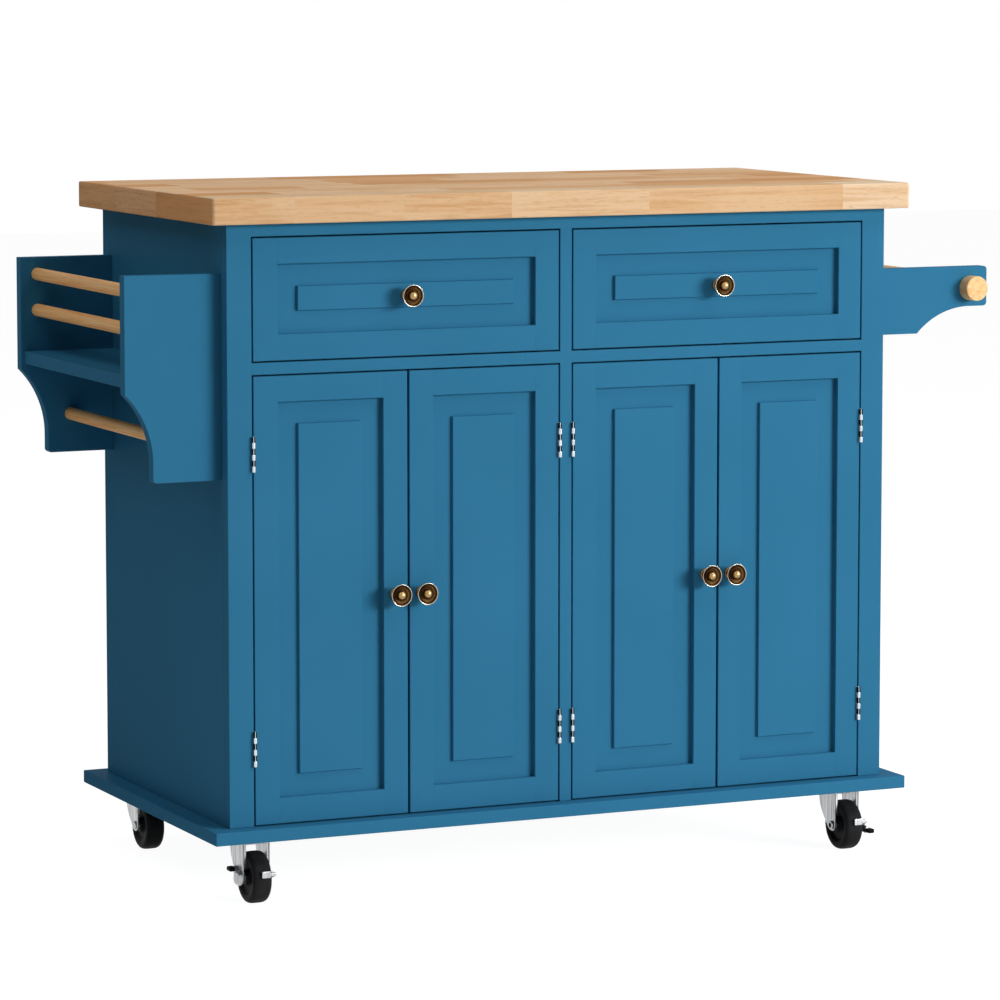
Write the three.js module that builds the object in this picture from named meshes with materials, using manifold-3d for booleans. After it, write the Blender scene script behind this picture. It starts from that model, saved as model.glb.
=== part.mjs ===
// Kitchen island unit on four casters: a painted cabinet with two drawers over four doors,
// a wooden worktop, a spice rack on the left side and a towel rack on the right side.
// Millimetres, +Z up, the doors face -Y, origin on the floor under the middle of the whole object.
import * as THREE from 'three';
import { mergeVertices } from 'three/addons/utils/BufferGeometryUtils.js';
import Module from 'manifold-3d';

const wasm = await Module();
wasm.setup();

// ---- Driving dimensions -------------------------------------------------------------------

const fitGap = 0.3; // left between pieces that touch
const slideGap = 1; // left between a drawer box and its runners
const reveal = 2; // visible gap round each door and drawer front
const pairReveal = 3; // visible gap between the two doors of a pair

// worktop and base board share one footprint
const worktopWidth = 1014;
const worktopDepth = 512;
const worktopThickness = 34.5;
const worktopHeight = 920;
const sideOverhang = 27.5; // past the cabinet, at each side
const frontOverhang = 22.5; // and at the front and back
const baseThickness = 17;
const baseHeight = 87; // underside of the base board above the floor

// carcass
const bodyWidth = worktopWidth - 2 * sideOverhang;
const bodyDepth = worktopDepth - 2 * frontOverhang;
const panelThickness = 17;
const backThickness = 6;
const frameThickness = 18; // face frame, doors and drawer fronts
const outerStile = 34;
const centreStile = panelThickness;
const topRail = 16.5;
const middleRail = 15.6;
const drawerOpening = 162;
const shelfHeight = 390; // underside of the inner shelves
const shelfSetback = 15; // from the back of the face frame
const cleatWidth = 12;
const cleatHeight = 18;
const cleatSetback = 53.5; // from the front of the cabinet
const cleatShort = 23.5; // cleats and runners end this far from the back of the cabinet

// routed fronts
const frontStile = 34;
const recessDepth = 8;
const fieldRise = 4.5; // raised field above the recess floor
const fieldBevel = 1;
const fieldMargin = 28.5; // flat band between the stile and the raised field

// drawer boxes
const boxClearance = 6; // each side, to the opening
const boxHeight = 120;
const boxSpaceBehind = 42.7; // to the back panel
const boxWall = 12;
const boxBottom = 8;
const boxLift = 4; // box underside above the underside of its front
const runnerThickness = 12;
const runnerReach = 18; // how far a runner goes under the box
const guideHeight = 20;

// knobs
const knobRadius = 14.4;
const knobHeight = 24.4;
const knobFootRadius = 8;
const knobNeckRadius = 5;
const knobBallRadius = 5.8;
const knobShank = 2;
const knobShankLength = 14;

// butt hinges
const hingeLength = 46;
const hingeInset = 77; // from the end of the door to the end of the hinge
const knuckleRadius = 2.5; // on the frame leaf, which holds the pin
const doorKnuckleRadius = 1.8;
const pinRadius = 0.8;
const leafThickness = 1.5;
const leafDepth = 14;
const knuckleCount = 6;

// casters
const wheelRadius = 34;
const wheelWidth = 26;
const hubStep = 0.3; // the hub stands this much proud of the wheel's sides
const casterTrail = 20; // the axle lies this far in front of the swivel axis
const casterInsetX = 70; // swivel axis to the end of the base board
const casterInsetFront = 65.5;
const casterInsetBack = 47;
const forkHalfWidth = 19;
const forkThickness = 2.5;
const forkTip = 8; // radius of each leg round the axle
const forkRear = 40; // rear edge of the fork behind the axle
const forkLip = 5; // the front edge of each leg is turned in by this much
const forkLipBottom = 50;
const crownBottom = 78;
const plateHalfWidth = 31;
const plateHalfDepth = 27;
const plateThickness = 2.7;
const raceRadius = 20;
const axleRadius = 4;
const axleNutRadius = 6;
const axleHead = 2.5;
const kingpinRadius = 5;

// foot brakes on the front casters
const tongueClearance = 2; // between the tongue and the tread
const tongueRise = 0.24; // angle of the tongue above the horizontal
const tongueStart = -3; // from the middle of the wheel
const brakeArmWidth = 9;
const brakeHubRadius = 10;
const brakeHubDepth = 8.5;
const pedalWidth = 7;
const pedalDepth = 13;
const pedalThickness = 6;

// spice rack
const rackReach = 131; // from the side of the cabinet
const rackInset = 20; // from the front and back of the cabinet
const rackDrop = 98.5; // top of the rack below the top of the worktop
const rackHeight = 266;
const rackThickness = 17;
const rackStraight = 151.5; // straight outer edge above the curve
const rackFootReach = 93.5;
const rackFootChamfer = 3;
const rackCurveRadius = 125;
const rackShelfDrop = 127; // top of the shelf below the top of the rack
const rackShelfSetback = 5;
const dowelRadius = 8.5;
const dowelSink = 8; // how far each end goes into its panel
const railPlaces = { // from the side of the cabinet, and below the top of the rack
  top: [107, 22.8],
  middle: [107, 71.5],
  bottom: [61.5, 214],
};

// towel rack
const bracketReach = 174;
const bracketInset = 20;
const bracketThickness = 17;
const bracketDrop = 119.5; // top of the brackets below the top of the worktop
const bracketTipHeight = 55;
const bracketHeight = 90.5; // at the cabinet
const bracketCorner = 5;
const bracketTipCorner = 5;
const bracketCurveRadius = 112;
const bracketCurveStart = 28; // the concave curve starts this far in from the outer edge
const barRadius = 17;
const barInset = 26; // bar axis to the outer edge of the brackets
const barDrop = 29.8; // bar axis below the top of the brackets

// ---- Derived places -----------------------------------------------------------------------

const baseTop = baseHeight + baseThickness;
const worktopUnderside = worktopHeight - worktopThickness;
const carcassBottom = baseTop + fitGap;
const carcassTop = worktopUnderside - fitGap;
const halfBody = bodyWidth / 2;
const bodyFront = -bodyDepth / 2;
const bodyBack = bodyDepth / 2;
const frameBack = bodyFront + frameThickness;
const panelFront = frameBack + fitGap;
const panelBack = bodyBack - backThickness - fitGap;
const cleatFront = bodyFront + cleatSetback;
const cleatBack = bodyBack - cleatShort;
const sideInner = halfBody - panelThickness;
const stileInner = halfBody - outerStile;
const centreEdge = centreStile / 2;
const openingWidth = stileInner - centreEdge;
const drawerOpeningTop = carcassTop - topRail;
const drawerOpeningBottom = drawerOpeningTop - drawerOpening;
const doorOpeningTop = drawerOpeningBottom - middleRail;
const doorTop = doorOpeningTop - reveal;
const doorBottom = baseTop + reveal;
const doorWidth = (openingWidth - 2 * reveal - pairReveal) / 2;
const doorMiddle = (doorTop + doorBottom) / 2;
const drawerTop = drawerOpeningTop - reveal;
const drawerBottom = drawerOpeningBottom + reveal;
const drawerMiddle = (drawerTop + drawerBottom) / 2;
const boxUnderside = drawerBottom + boxLift;
const boxLength = panelBack - panelFront - boxSpaceBehind + fitGap;
const runnerTop = boxUnderside - slideGap;
const hingeAxisY = bodyFront - knuckleRadius - fitGap;
const hingeHeights = {
  upper: doorTop - hingeInset - hingeLength / 2,
  lower: doorBottom + hingeInset + hingeLength / 2,
};
const fieldFrontY = recessDepth - fieldRise; // behind the face of the stiles

// ---- Materials ----------------------------------------------------------------------------

const finish = (color, roughness, metalness) =>
  new THREE.MeshStandardMaterial({ color, roughness, metalness, flatShading: true });
const bluePaint = finish('#34769b', 0.45, 0);
const oiledRubberwood = finish('#dcb384', 0.5, 0);
const pineWood = finish('#d9b98a', 0.6, 0);
const knobBronze = finish('#4a3a2c', 0.4, 0.8);
const hingeNickel = finish('#b9b6ae', 0.3, 0.9);
const casterZinc = finish('#b4b4b2', 0.35, 0.9);
const wheelRubber = finish('#1d1d1d', 0.7, 0);

// ---- Geometry helpers ---------------------------------------------------------------------

// A closed three.js geometry as a solid that can be joined and cut.
function solidOf(geometry) {
  const bare = geometry.clone();
  bare.deleteAttribute('normal');
  bare.deleteAttribute('uv');
  const merged = mergeVertices(bare, 1e-4);
  return new wasm.Manifold(new wasm.Mesh({
    numProp: 3,
    vertProperties: new Float32Array(merged.attributes.position.array),
    triVerts: new Uint32Array(merged.index.array),
  }));
}

function geometryOf(solid) {
  const { vertProperties, triVerts } = solid.getMesh();
  const geometry = new THREE.BufferGeometry();
  geometry.setAttribute('position', new THREE.BufferAttribute(vertProperties, 3));
  geometry.setIndex(new THREE.BufferAttribute(triVerts, 1));
  geometry.computeVertexNormals();
  return geometry;
}

function piece(name, solid, material) {
  const mesh = new THREE.Mesh(geometryOf(solid), material.clone());
  mesh.name = name;
  return mesh;
}

// Box between two corners, given in any order.
function block(x0, x1, y0, y1, z0, z1) {
  const geometry = new THREE.BoxGeometry(Math.abs(x1 - x0), Math.abs(y1 - y0), Math.abs(z1 - z0));
  geometry.translate((x0 + x1) / 2, (y0 + y1) / 2, (z0 + z1) / 2);
  return solidOf(geometry);
}

const joined = (solids) => solids.reduce((sum, solid) => sum.add(solid));
const cut = (solid, cutters) => cutters.reduce((rest, cutter) => rest.subtract(cutter), solid);

// Round bar along one axis ('x', 'y' or 'z') from one coordinate to another.
function rod(axis, radius, from, to, [x, y, z], sides = 16) {
  const geometry = new THREE.CylinderGeometry(radius, radius, Math.abs(to - from), sides);
  const middle = (from + to) / 2;
  if (axis === 'x') geometry.rotateZ(-Math.PI / 2).translate(middle, y, z);
  if (axis === 'y') geometry.translate(x, middle, z);
  if (axis === 'z') geometry.rotateX(Math.PI / 2).translate(x, y, middle);
  return solidOf(geometry);
}

// Outline in (x, z) given thickness along Y.
function slabAlongY(shape, y0, y1, curveSegments = 12) {
  const geometry = new THREE.ExtrudeGeometry(shape, { depth: y1 - y0, bevelEnabled: false, curveSegments });
  const turn = new THREE.Matrix4().makeBasis(
    new THREE.Vector3(1, 0, 0), new THREE.Vector3(0, 0, 1), new THREE.Vector3(0, -1, 0));
  return solidOf(geometry.applyMatrix4(turn).translate(0, y1, 0));
}

// Outline in (y, z) given thickness along X.
function slabAlongX(shape, x0, x1, curveSegments = 5) {
  const geometry = new THREE.ExtrudeGeometry(shape, { depth: x1 - x0, bevelEnabled: false, curveSegments });
  const turn = new THREE.Matrix4().makeBasis(
    new THREE.Vector3(0, 1, 0), new THREE.Vector3(0, 0, 1), new THREE.Vector3(1, 0, 0));
  return solidOf(geometry.applyMatrix4(turn).translate(x0, 0, 0));
}

// Turned shape from [radius, height] pairs round the Y axis.
function turned(profile, sides) {
  return new THREE.LatheGeometry(profile.map(([r, h]) => new THREE.Vector2(r, h)), sides);
}

function groupAt(x, y, z, children) {
  const group = new THREE.Group();
  group.position.set(x, y, z);
  group.add(...children);
  return group;
}

// ---- Carcass ------------------------------------------------------------------------------

// Drawer runner on a face: a ledge under the box and a guide beside it.
// inward points from the face to the drawer.
function runner(faceX, boxEdgeX, inward) {
  const ledge = block(faceX, boxEdgeX + inward * runnerReach, panelFront, cleatBack,
    runnerTop - runnerThickness, runnerTop);
  const guide = block(faceX, boxEdgeX - inward * slideGap, panelFront, cleatBack,
    runnerTop - runnerThickness, runnerTop + guideHeight);
  return ledge.add(guide);
}

function shelfCleat(faceX, inward) {
  return block(faceX, faceX + inward * cleatWidth, cleatFront, cleatBack,
    shelfHeight - fitGap - cleatHeight, shelfHeight - fitGap);
}

function sidePanel(side) {
  const face = side * sideInner;
  return joined([
    block(side * halfBody, face, panelFront, panelBack, carcassBottom, carcassTop),
    runner(face, side * (stileInner - boxClearance), -side),
    shelfCleat(face, -side),
  ]);
}

function centreDivider() {
  const solids = [block(-centreEdge, centreEdge, panelFront, panelBack, carcassBottom, carcassTop)];
  for (const side of [-1, 1]) {
    solids.push(runner(side * centreEdge, side * (centreEdge + boxClearance), side));
    solids.push(shelfCleat(side * centreEdge, side));
  }
  return joined(solids);
}

function faceFrame(mortises) {
  const frame = block(-halfBody, halfBody, bodyFront, frameBack, carcassBottom, carcassTop);
  const openings = [];
  for (const side of [-1, 1]) {
    const edges = [side * centreEdge, side * stileInner, bodyFront - 1, frameBack + 1];
    openings.push(block(...edges, drawerOpeningBottom, drawerOpeningTop));
    openings.push(block(...edges, carcassBottom - 1, doorOpeningTop));
  }
  return cut(frame, [...openings, ...mortises]);
}

function innerShelf(side) {
  return block(side * (centreEdge + fitGap), side * (sideInner - fitGap),
    frameBack + shelfSetback, panelBack - fitGap, shelfHeight, shelfHeight + panelThickness);
}

// ---- Fronts -------------------------------------------------------------------------------

// Flat board with a routed recess and a raised field; its face lies at y = faceY.
function routedFront(x0, x1, z0, z1, faceY) {
  const inset = (d) => [x0 + d, x1 - d, z0 + d, z1 - d];
  const board = block(x0, x1, faceY, faceY + frameThickness, z0, z1);
  const [rx0, rx1, rz0, rz1] = inset(frontStile);
  const recess = block(rx0, rx1, faceY - 1, faceY + recessDepth, rz0, rz1);
  const [fx0, fx1, fz0, fz1] = inset(frontStile + fieldMargin);
  const field = new THREE.BoxGeometry(fx1 - fx0, fieldRise + 1, fz1 - fz0);
  const points = field.attributes.position;
  for (let i = 0; i < points.count; i += 1) {
    if (points.getY(i) > 0) continue; // the rear corners stay, the front ones are drawn in
    points.setX(i, points.getX(i) - Math.sign(points.getX(i)) * fieldBevel);
    points.setZ(i, points.getZ(i) - Math.sign(points.getZ(i)) * fieldBevel);
  }
  field.translate((x0 + x1) / 2, faceY + fieldFrontY + (fieldRise + 1) / 2, (z0 + z1) / 2);
  return board.subtract(recess).add(solidOf(field));
}

// Dished knob turned round an axis along -Y, its base on y = 0, with a shank that enters the front.
function knobSolid() {
  const rimHeight = knobHeight - 3.6;
  const bowlHeight = knobHeight - 6.2;
  const profile = [
    [0, -knobShankLength], [knobShank, -knobShankLength], [knobShank, 0],
    [knobFootRadius, 0], [knobFootRadius, 1.2], [knobNeckRadius, 3.6], [knobNeckRadius, 10.5],
    [knobRadius - 4, 15.2], [knobRadius, rimHeight - 1.8], [knobRadius, rimHeight],
    [knobRadius - 2.2, rimHeight + 0.4], [knobRadius - 4.2, bowlHeight], [knobBallRadius, bowlHeight],
    [knobBallRadius - 0.7, knobHeight - 2.6], [knobBallRadius - 2.8, knobHeight - 0.6], [0, knobHeight],
  ];
  return solidOf(turned(profile, 24).rotateX(Math.PI));
}

const knobHole = (x, faceY, z) =>
  rod('y', knobShank + fitGap, faceY - 1, faceY + knobShankLength + fitGap, [x, 0, z], 12);

// ---- Hinges -------------------------------------------------------------------------------

// Local frame: the pin is the Z axis, +Y goes into the cabinet, side points from stile to door.
function hingeBands(owner) {
  const pitch = hingeLength / knuckleCount;
  const bands = [];
  for (let i = owner; i < knuckleCount; i += 2) {
    const low = i * pitch - hingeLength / 2;
    bands.push([low + (i ? fitGap / 2 : 0), low + pitch - (i < knuckleCount - 1 ? fitGap / 2 : 0)]);
  }
  return bands;
}

function leafPlate(direction, bands, tabStart) {
  const near = direction * fitGap / 2;
  const far = near + direction * leafThickness;
  const plateStart = knuckleRadius + fitGap;
  const plate = block(near, far, plateStart, plateStart + leafDepth, -hingeLength / 2, hingeLength / 2);
  const tabs = bands.map(([low, high]) => block(near, far, tabStart, plateStart + 1, low, high));
  return joined([plate, ...tabs]);
}

function fixedLeaf(side) {
  const bands = hingeBands(0);
  const knuckles = bands.map(([low, high]) => rod('z', knuckleRadius, low, high, [0, 0, 0], 12));
  const pin = rod('z', pinRadius, -hingeLength / 2 + 1, hingeLength / 2, [0, 0, 0], 8);
  return joined([leafPlate(-side, bands, 0), ...knuckles, pin]);
}

function doorLeaf(side) {
  const bands = hingeBands(1);
  const knuckles = bands.map(([low, high]) => rod('z', doorKnuckleRadius, low, high, [0, 0, 0], 12));
  const bore = rod('z', pinRadius + fitGap, -hingeLength, hingeLength, [0, 0, 0], 8);
  const boreClear = pinRadius + 2 * fitGap;
  return joined([leafPlate(side, bands, boreClear), ...knuckles]).subtract(bore);
}

// Pocket for a leaf in the edge of a door or stile, in the hinge's local frame.
function leafPocket(direction, z) {
  const depth = fitGap / 2 + leafThickness + fitGap;
  return block(0, direction * depth, 0, knuckleRadius + leafDepth + 2 * fitGap,
    z - hingeLength / 2 - fitGap, z + hingeLength / 2 + fitGap);
}

// ---- Doors and drawers --------------------------------------------------------------------

// side +1: the door hangs to the right of its hinge pins, -1: to the left.
const doors = [
  { name: 'left_outer', side: 1, stileEdge: -stileInner },
  { name: 'left_inner', side: -1, stileEdge: -centreEdge },
  { name: 'right_inner', side: 1, stileEdge: centreEdge },
  { name: 'right_outer', side: -1, stileEdge: stileInner },
].map((door) => ({ ...door, axisX: door.stileEdge + door.side * reveal / 2 }));

function doorGroup({ name, side, axisX }) {
  const near = side * reveal / 2;
  const far = near + side * doorWidth;
  const face = bodyFront - hingeAxisY;
  const knobX = far - side * frontStile / 2;
  const panel = cut(routedFront(Math.min(near, far), Math.max(near, far), doorBottom, doorTop, face), [
    ...Object.values(hingeHeights).map((z) => leafPocket(side, z)),
    knobHole(knobX, face, doorMiddle),
  ]);
  const knob = piece(`knob_door_${name}`, knobSolid(), knobBronze);
  knob.position.set(knobX, face - fitGap, doorMiddle);
  const leaves = Object.entries(hingeHeights).map(([level, z]) => {
    const leaf = piece(`hinge_leaf_door_${name}_${level}`, doorLeaf(side), hingeNickel);
    leaf.position.z = z;
    return leaf;
  });
  return groupAt(axisX, hingeAxisY, 0, [piece(`door_${name}`, panel, bluePaint), knob, ...leaves]);
}

function fixedLeaves({ name, side, axisX }) {
  const leaves = Object.entries(hingeHeights).map(([level, z]) => {
    const leaf = piece(`hinge_leaf_frame_${name}_${level}`, fixedLeaf(side), hingeNickel);
    leaf.position.z = z;
    return leaf;
  });
  return groupAt(axisX, hingeAxisY, 0, leaves);
}

const frameMortises = doors.flatMap(({ side, axisX }) =>
  Object.values(hingeHeights).map((z) => leafPocket(-side, z).translate([axisX, hingeAxisY, 0])));

// Local frame: the middle of the drawer front's face.
function drawerGroup(name, side) {
  const halfFront = openingWidth / 2 - reveal;
  const halfHeight = (drawerTop - drawerBottom) / 2;
  const halfBox = openingWidth / 2 - boxClearance;
  const fieldKnobFace = fieldFrontY - fitGap;
  const front = cut(routedFront(-halfFront, halfFront, -halfHeight, halfHeight, 0), [
    knobHole(0, fieldFrontY, 0),
  ]);
  const boxFront = frameThickness + fitGap;
  const boxLow = boxUnderside - drawerMiddle;
  const box = cut(block(-halfBox, halfBox, boxFront, boxFront + boxLength, boxLow, boxLow + boxHeight), [
    block(-halfBox + boxWall, halfBox - boxWall, boxFront + boxWall, boxFront + boxLength - boxWall,
      boxLow + boxBottom, boxLow + boxHeight + 1),
  ]);
  const knob = piece(`knob_drawer_${name}`, knobSolid(), knobBronze);
  knob.position.set(0, fieldKnobFace, 0);
  return groupAt(side * (centreEdge + openingWidth / 2), bodyFront, drawerMiddle, [
    piece(`drawer_front_${name}`, front, bluePaint),
    piece(`drawer_box_${name}`, box, pineWood),
    knob,
  ]);
}

// ---- Casters ------------------------------------------------------------------------------

const casterLegX = forkHalfWidth - forkThickness;
const hubHalf = wheelWidth / 2 + hubStep;
const leverInner = forkHalfWidth + fitGap;
const leverOuter = leverInner + forkThickness;

// Local frame: the swivel axis at floor level; the axle lies at [y, z] = axle.
const axle = [-casterTrail, wheelRadius];

function casterPlate() {
  const plateTop = baseHeight - fitGap;
  const raceBottom = crownBottom + forkThickness + fitGap;
  const headTop = crownBottom - fitGap;
  return joined([
    block(-plateHalfWidth, plateHalfWidth, -plateHalfDepth, plateHalfDepth,
      plateTop - plateThickness, plateTop),
    rod('z', raceRadius, raceBottom, plateTop - 1, [0, 0, 0], 24),
    rod('z', kingpinRadius, headTop - 1, raceBottom + 1, [0, 0, 0], 12),
    rod('z', kingpinRadius + 3, headTop - 3, headTop, [0, 0, 0], 12),
  ]);
}

function forkLegShape() {
  const [y, z] = axle;
  const shape = new THREE.Shape();
  shape.moveTo(y - forkTip, crownBottom + forkThickness);
  shape.lineTo(y - forkTip, z);
  shape.absarc(y, z, forkTip, Math.PI, Math.PI * 1.68, false);
  shape.quadraticCurveTo(y + forkRear - 12, z + 10, y + forkRear - 2, z + 36);
  shape.lineTo(y + forkRear, crownBottom + forkThickness);
  return shape;
}

function casterFork(holesForAxle) {
  const [y, z] = axle;
  const crown = block(-forkHalfWidth, forkHalfWidth, y - forkTip, y + forkRear,
    crownBottom, crownBottom + forkThickness);
  const legs = [-1, 1].map((side) => slabAlongX(forkLegShape(),
    side < 0 ? -forkHalfWidth : casterLegX, side < 0 ? -casterLegX : forkHalfWidth));
  const lips = [-1, 1].map((side) => block(side * (forkHalfWidth - forkLip), side * forkHalfWidth,
    y - forkTip, y - forkTip + forkThickness, forkLipBottom, crownBottom + 1));
  const kingpinHole = rod('z', kingpinRadius + fitGap, crownBottom - 1, crownBottom + forkThickness + 1,
    [0, 0, 0], 12);
  const fork = joined([crown, ...legs, ...lips]).subtract(kingpinHole);
  if (holesForAxle) {
    return fork.subtract(rod('x', axleRadius + fitGap, -forkHalfWidth - 1, forkHalfWidth + 1, [0, y, z], 12));
  }
  return joined([
    fork,
    rod('x', axleRadius, -forkHalfWidth, forkHalfWidth, [0, y, z], 12),
    rod('x', axleNutRadius, -forkHalfWidth - axleHead, -hubHalf - fitGap, [0, y, z], 12),
    rod('x', axleNutRadius, hubHalf + fitGap, forkHalfWidth + axleHead, [0, y, z], 12),
  ]);
}

function wheelSolid() {
  const half = wheelWidth / 2;
  const bore = axleRadius + fitGap;
  const profile = [
    [bore, -hubHalf], [11, -hubHalf], [wheelRadius - 8, -half], [wheelRadius - 2.5, -half + 1.5],
    [wheelRadius, -half + 5.5],
  ];
  const mirrored = profile.map(([r, h]) => [r, -h]).reverse();
  const outline = [...profile, ...mirrored, profile[0]];
  return solidOf(turned(outline, 36).rotateZ(-Math.PI / 2));
}

// Bar in the (y, z) plane from the axle outwards at an angle above the horizontal, with a round hub.
function leverArm(x0, x1, angle, length) {
  const arm = new THREE.Shape();
  const across = new THREE.Vector2(-Math.sin(angle), Math.cos(angle)).multiplyScalar(brakeArmWidth / 2);
  const along = new THREE.Vector2(Math.cos(angle), Math.sin(angle)).multiplyScalar(length);
  arm.moveTo(axle[0] + across.x, axle[1] + across.y);
  arm.lineTo(axle[0] - across.x, axle[1] - across.y);
  arm.lineTo(axle[0] + along.x - across.x, axle[1] + along.y - across.y);
  arm.lineTo(axle[0] + along.x + across.x, axle[1] + along.y + across.y);
  return slabAlongX(arm, Math.min(x0, x1), Math.max(x0, x1))
    .add(rod('x', brakeHubRadius, x0, x1, [0, axle[0], axle[1]], 16));
}

// The axle rod carries the brake: a pedal arm outside the fork, and a tongue in front of the tread
// whose arm runs between the wheel and the right leg.
function brakeLever(pedalSide, pedalAngle, pedalLength) {
  const [y, z] = axle;
  const armInner = hubHalf + fitGap;
  const armOuter = casterLegX - fitGap;
  const tongueAngle = Math.PI - tongueRise;
  const tongueLength = wheelRadius + tongueClearance + forkThickness / 2;
  const tongueY = y + tongueLength * Math.cos(tongueAngle);
  const tongueZ = z + tongueLength * Math.sin(tongueAngle);
  const pedalY = y + pedalLength * Math.cos(pedalAngle);
  const pedalZ = z + pedalLength * Math.sin(pedalAngle);
  return joined([
    rod('x', axleRadius, -leverOuter, leverOuter, [0, y, z], 12),
    rod('x', axleNutRadius, -armOuter, -armInner, [0, y, z], 12),
    rod('x', axleNutRadius, -pedalSide * leverInner, -pedalSide * leverOuter, [0, y, z], 12),
    leverArm(armInner, armOuter, tongueAngle, tongueLength),
    block(tongueStart, armOuter, tongueY - forkThickness / 2, tongueY + forkThickness / 2,
      tongueZ - brakeArmWidth / 2, tongueZ + brakeArmWidth / 2),
    leverArm(pedalSide * leverInner, pedalSide * leverOuter, pedalAngle, pedalLength),
    rod('x', brakeHubRadius, pedalSide * leverInner, pedalSide * (leverInner + brakeHubDepth),
      [0, y, z], 16),
    block(pedalSide * leverInner, pedalSide * (leverOuter + pedalWidth),
      pedalY - pedalDepth / 2, pedalY + pedalDepth / 2,
      pedalZ - pedalThickness / 2, pedalZ + pedalThickness / 2),
  ]);
}

const brakes = { // side of the pedal, its angle above the rear horizontal, its distance from the axle
  front_left: () => brakeLever(-1, 0.42, 22),
  front_right: () => brakeLever(1, Math.PI + 0.2, 30),
};

function caster(name, x, y) {
  const wheel = piece(`caster_wheel_${name}`, wheelSolid(), wheelRubber);
  wheel.position.set(0, axle[0], axle[1]);
  const parts = [
    piece(`caster_plate_${name}`, casterPlate(), casterZinc),
    piece(`caster_fork_${name}`, casterFork(name in brakes), casterZinc),
    wheel,
  ];
  if (name in brakes) parts.push(piece(`brake_lever_${name}`, brakes[name](), casterZinc));
  return groupAt(x, y, 0, parts);
}

function casters() {
  const x = worktopWidth / 2 - casterInsetX;
  const front = -worktopDepth / 2 + casterInsetFront;
  const back = worktopDepth / 2 - casterInsetBack;
  return [
    caster('front_left', -x, front),
    caster('front_right', x, front),
    caster('back_left', -x, back),
    caster('back_right', x, back),
  ];
}

// ---- Spice rack ---------------------------------------------------------------------------

const rackWall = -halfBody - fitGap; // face of the rack against the cabinet
const rackEdge = -halfBody - rackReach;
const rackFoot = -halfBody - rackFootReach;
const rackTop = worktopHeight - rackDrop;
const rackBottom = rackTop - rackHeight;
const rackCurveTop = rackTop - rackStraight;
const rackShelfTop = rackTop - rackShelfDrop;
const rackRails = Object.entries(railPlaces).map(([name, [reach, drop]]) =>
  ({ name, x: -halfBody - reach, z: rackTop - drop }));
const rackEnds = { front: bodyFront + rackInset, back: bodyBack - rackInset };

function rackEndShape() {
  const sweep = Math.acos(1 - (rackFoot - rackEdge) / rackCurveRadius);
  const centreX = rackFoot - rackCurveRadius;
  const centreZ = rackCurveTop - rackCurveRadius * Math.sin(sweep);
  const shape = new THREE.Shape();
  shape.moveTo(rackWall, rackBottom);
  shape.lineTo(rackWall, rackTop);
  shape.lineTo(rackEdge, rackTop);
  shape.lineTo(rackEdge, rackCurveTop);
  shape.absarc(centreX, centreZ, rackCurveRadius, sweep, 0, true);
  shape.lineTo(rackFoot, rackBottom + rackFootChamfer);
  shape.lineTo(rackFoot + rackFootChamfer, rackBottom);
  return shape;
}

function spiceRackFrame() {
  const { front, back } = rackEnds;
  const frame = joined([
    slabAlongY(rackEndShape(), front, front + rackThickness),
    slabAlongY(rackEndShape(), back - rackThickness, back),
    block(rackEdge + rackShelfSetback, rackWall, front + 1, back - 1,
      rackShelfTop - rackThickness, rackShelfTop),
  ]);
  const sockets = rackRails.map(({ x, z }) => rod('y', dowelRadius + fitGap,
    front + rackThickness - dowelSink - fitGap, back - rackThickness + dowelSink + fitGap, [x, 0, z]));
  return cut(frame, sockets);
}

function spiceRack() {
  const from = rackEnds.front + rackThickness - dowelSink;
  const to = rackEnds.back - rackThickness + dowelSink;
  const rails = rackRails.map(({ name, x, z }) =>
    piece(`spice_rack_rail_${name}`, rod('y', dowelRadius, from, to, [x, 0, z]), oiledRubberwood));
  return [piece('spice_rack_frame', spiceRackFrame(), bluePaint), ...rails];
}

// ---- Towel rack ---------------------------------------------------------------------------

const bracketWall = halfBody + fitGap;
const bracketEdge = halfBody + bracketReach;
const barX = bracketEdge - barInset;
const bracketTop = worktopHeight - bracketDrop;
const barHeight = bracketTop - barDrop;

function bracketShape() {
  const tipBottom = bracketTop - bracketTipHeight;
  const curveX = bracketEdge - bracketCurveStart;
  const sweep = Math.acos(1 - (bracketHeight - bracketTipHeight) / bracketCurveRadius);
  const tipX = bracketEdge - bracketTipCorner;
  const tipZ = tipBottom + bracketTipCorner;
  const cornerX = bracketEdge - bracketCorner;
  const cornerZ = bracketTop - bracketCorner;
  const shape = new THREE.Shape();
  shape.moveTo(bracketWall, bracketTop);
  shape.lineTo(bracketWall, bracketTop - bracketHeight);
  shape.absarc(curveX, tipBottom - bracketCurveRadius, bracketCurveRadius,
    Math.PI / 2 + sweep, Math.PI / 2, true);
  shape.lineTo(tipX, tipBottom);
  shape.absarc(tipX, tipZ, bracketTipCorner, -Math.PI / 2, 0, false);
  shape.absarc(cornerX, cornerZ, bracketCorner, 0, Math.PI / 2, false);
  return shape;
}

function towelRack() {
  const hole = rod('y', barRadius + fitGap, -bodyDepth, bodyDepth, [barX, 0, barHeight], 24);
  const front = bodyFront + bracketInset;
  const back = bodyBack - bracketInset;
  const bracketFrom = (y0, y1) => slabAlongY(bracketShape(), y0, y1).subtract(hole);
  return [
    piece('towel_bracket_front', bracketFrom(front, front + bracketThickness), bluePaint),
    piece('towel_bracket_back', bracketFrom(back - bracketThickness, back), bluePaint),
    piece('towel_bar', rod('y', barRadius, bodyFront, bodyBack, [barX, 0, barHeight], 24), oiledRubberwood),
  ];
}

// ---- Assembly -----------------------------------------------------------------------------

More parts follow.
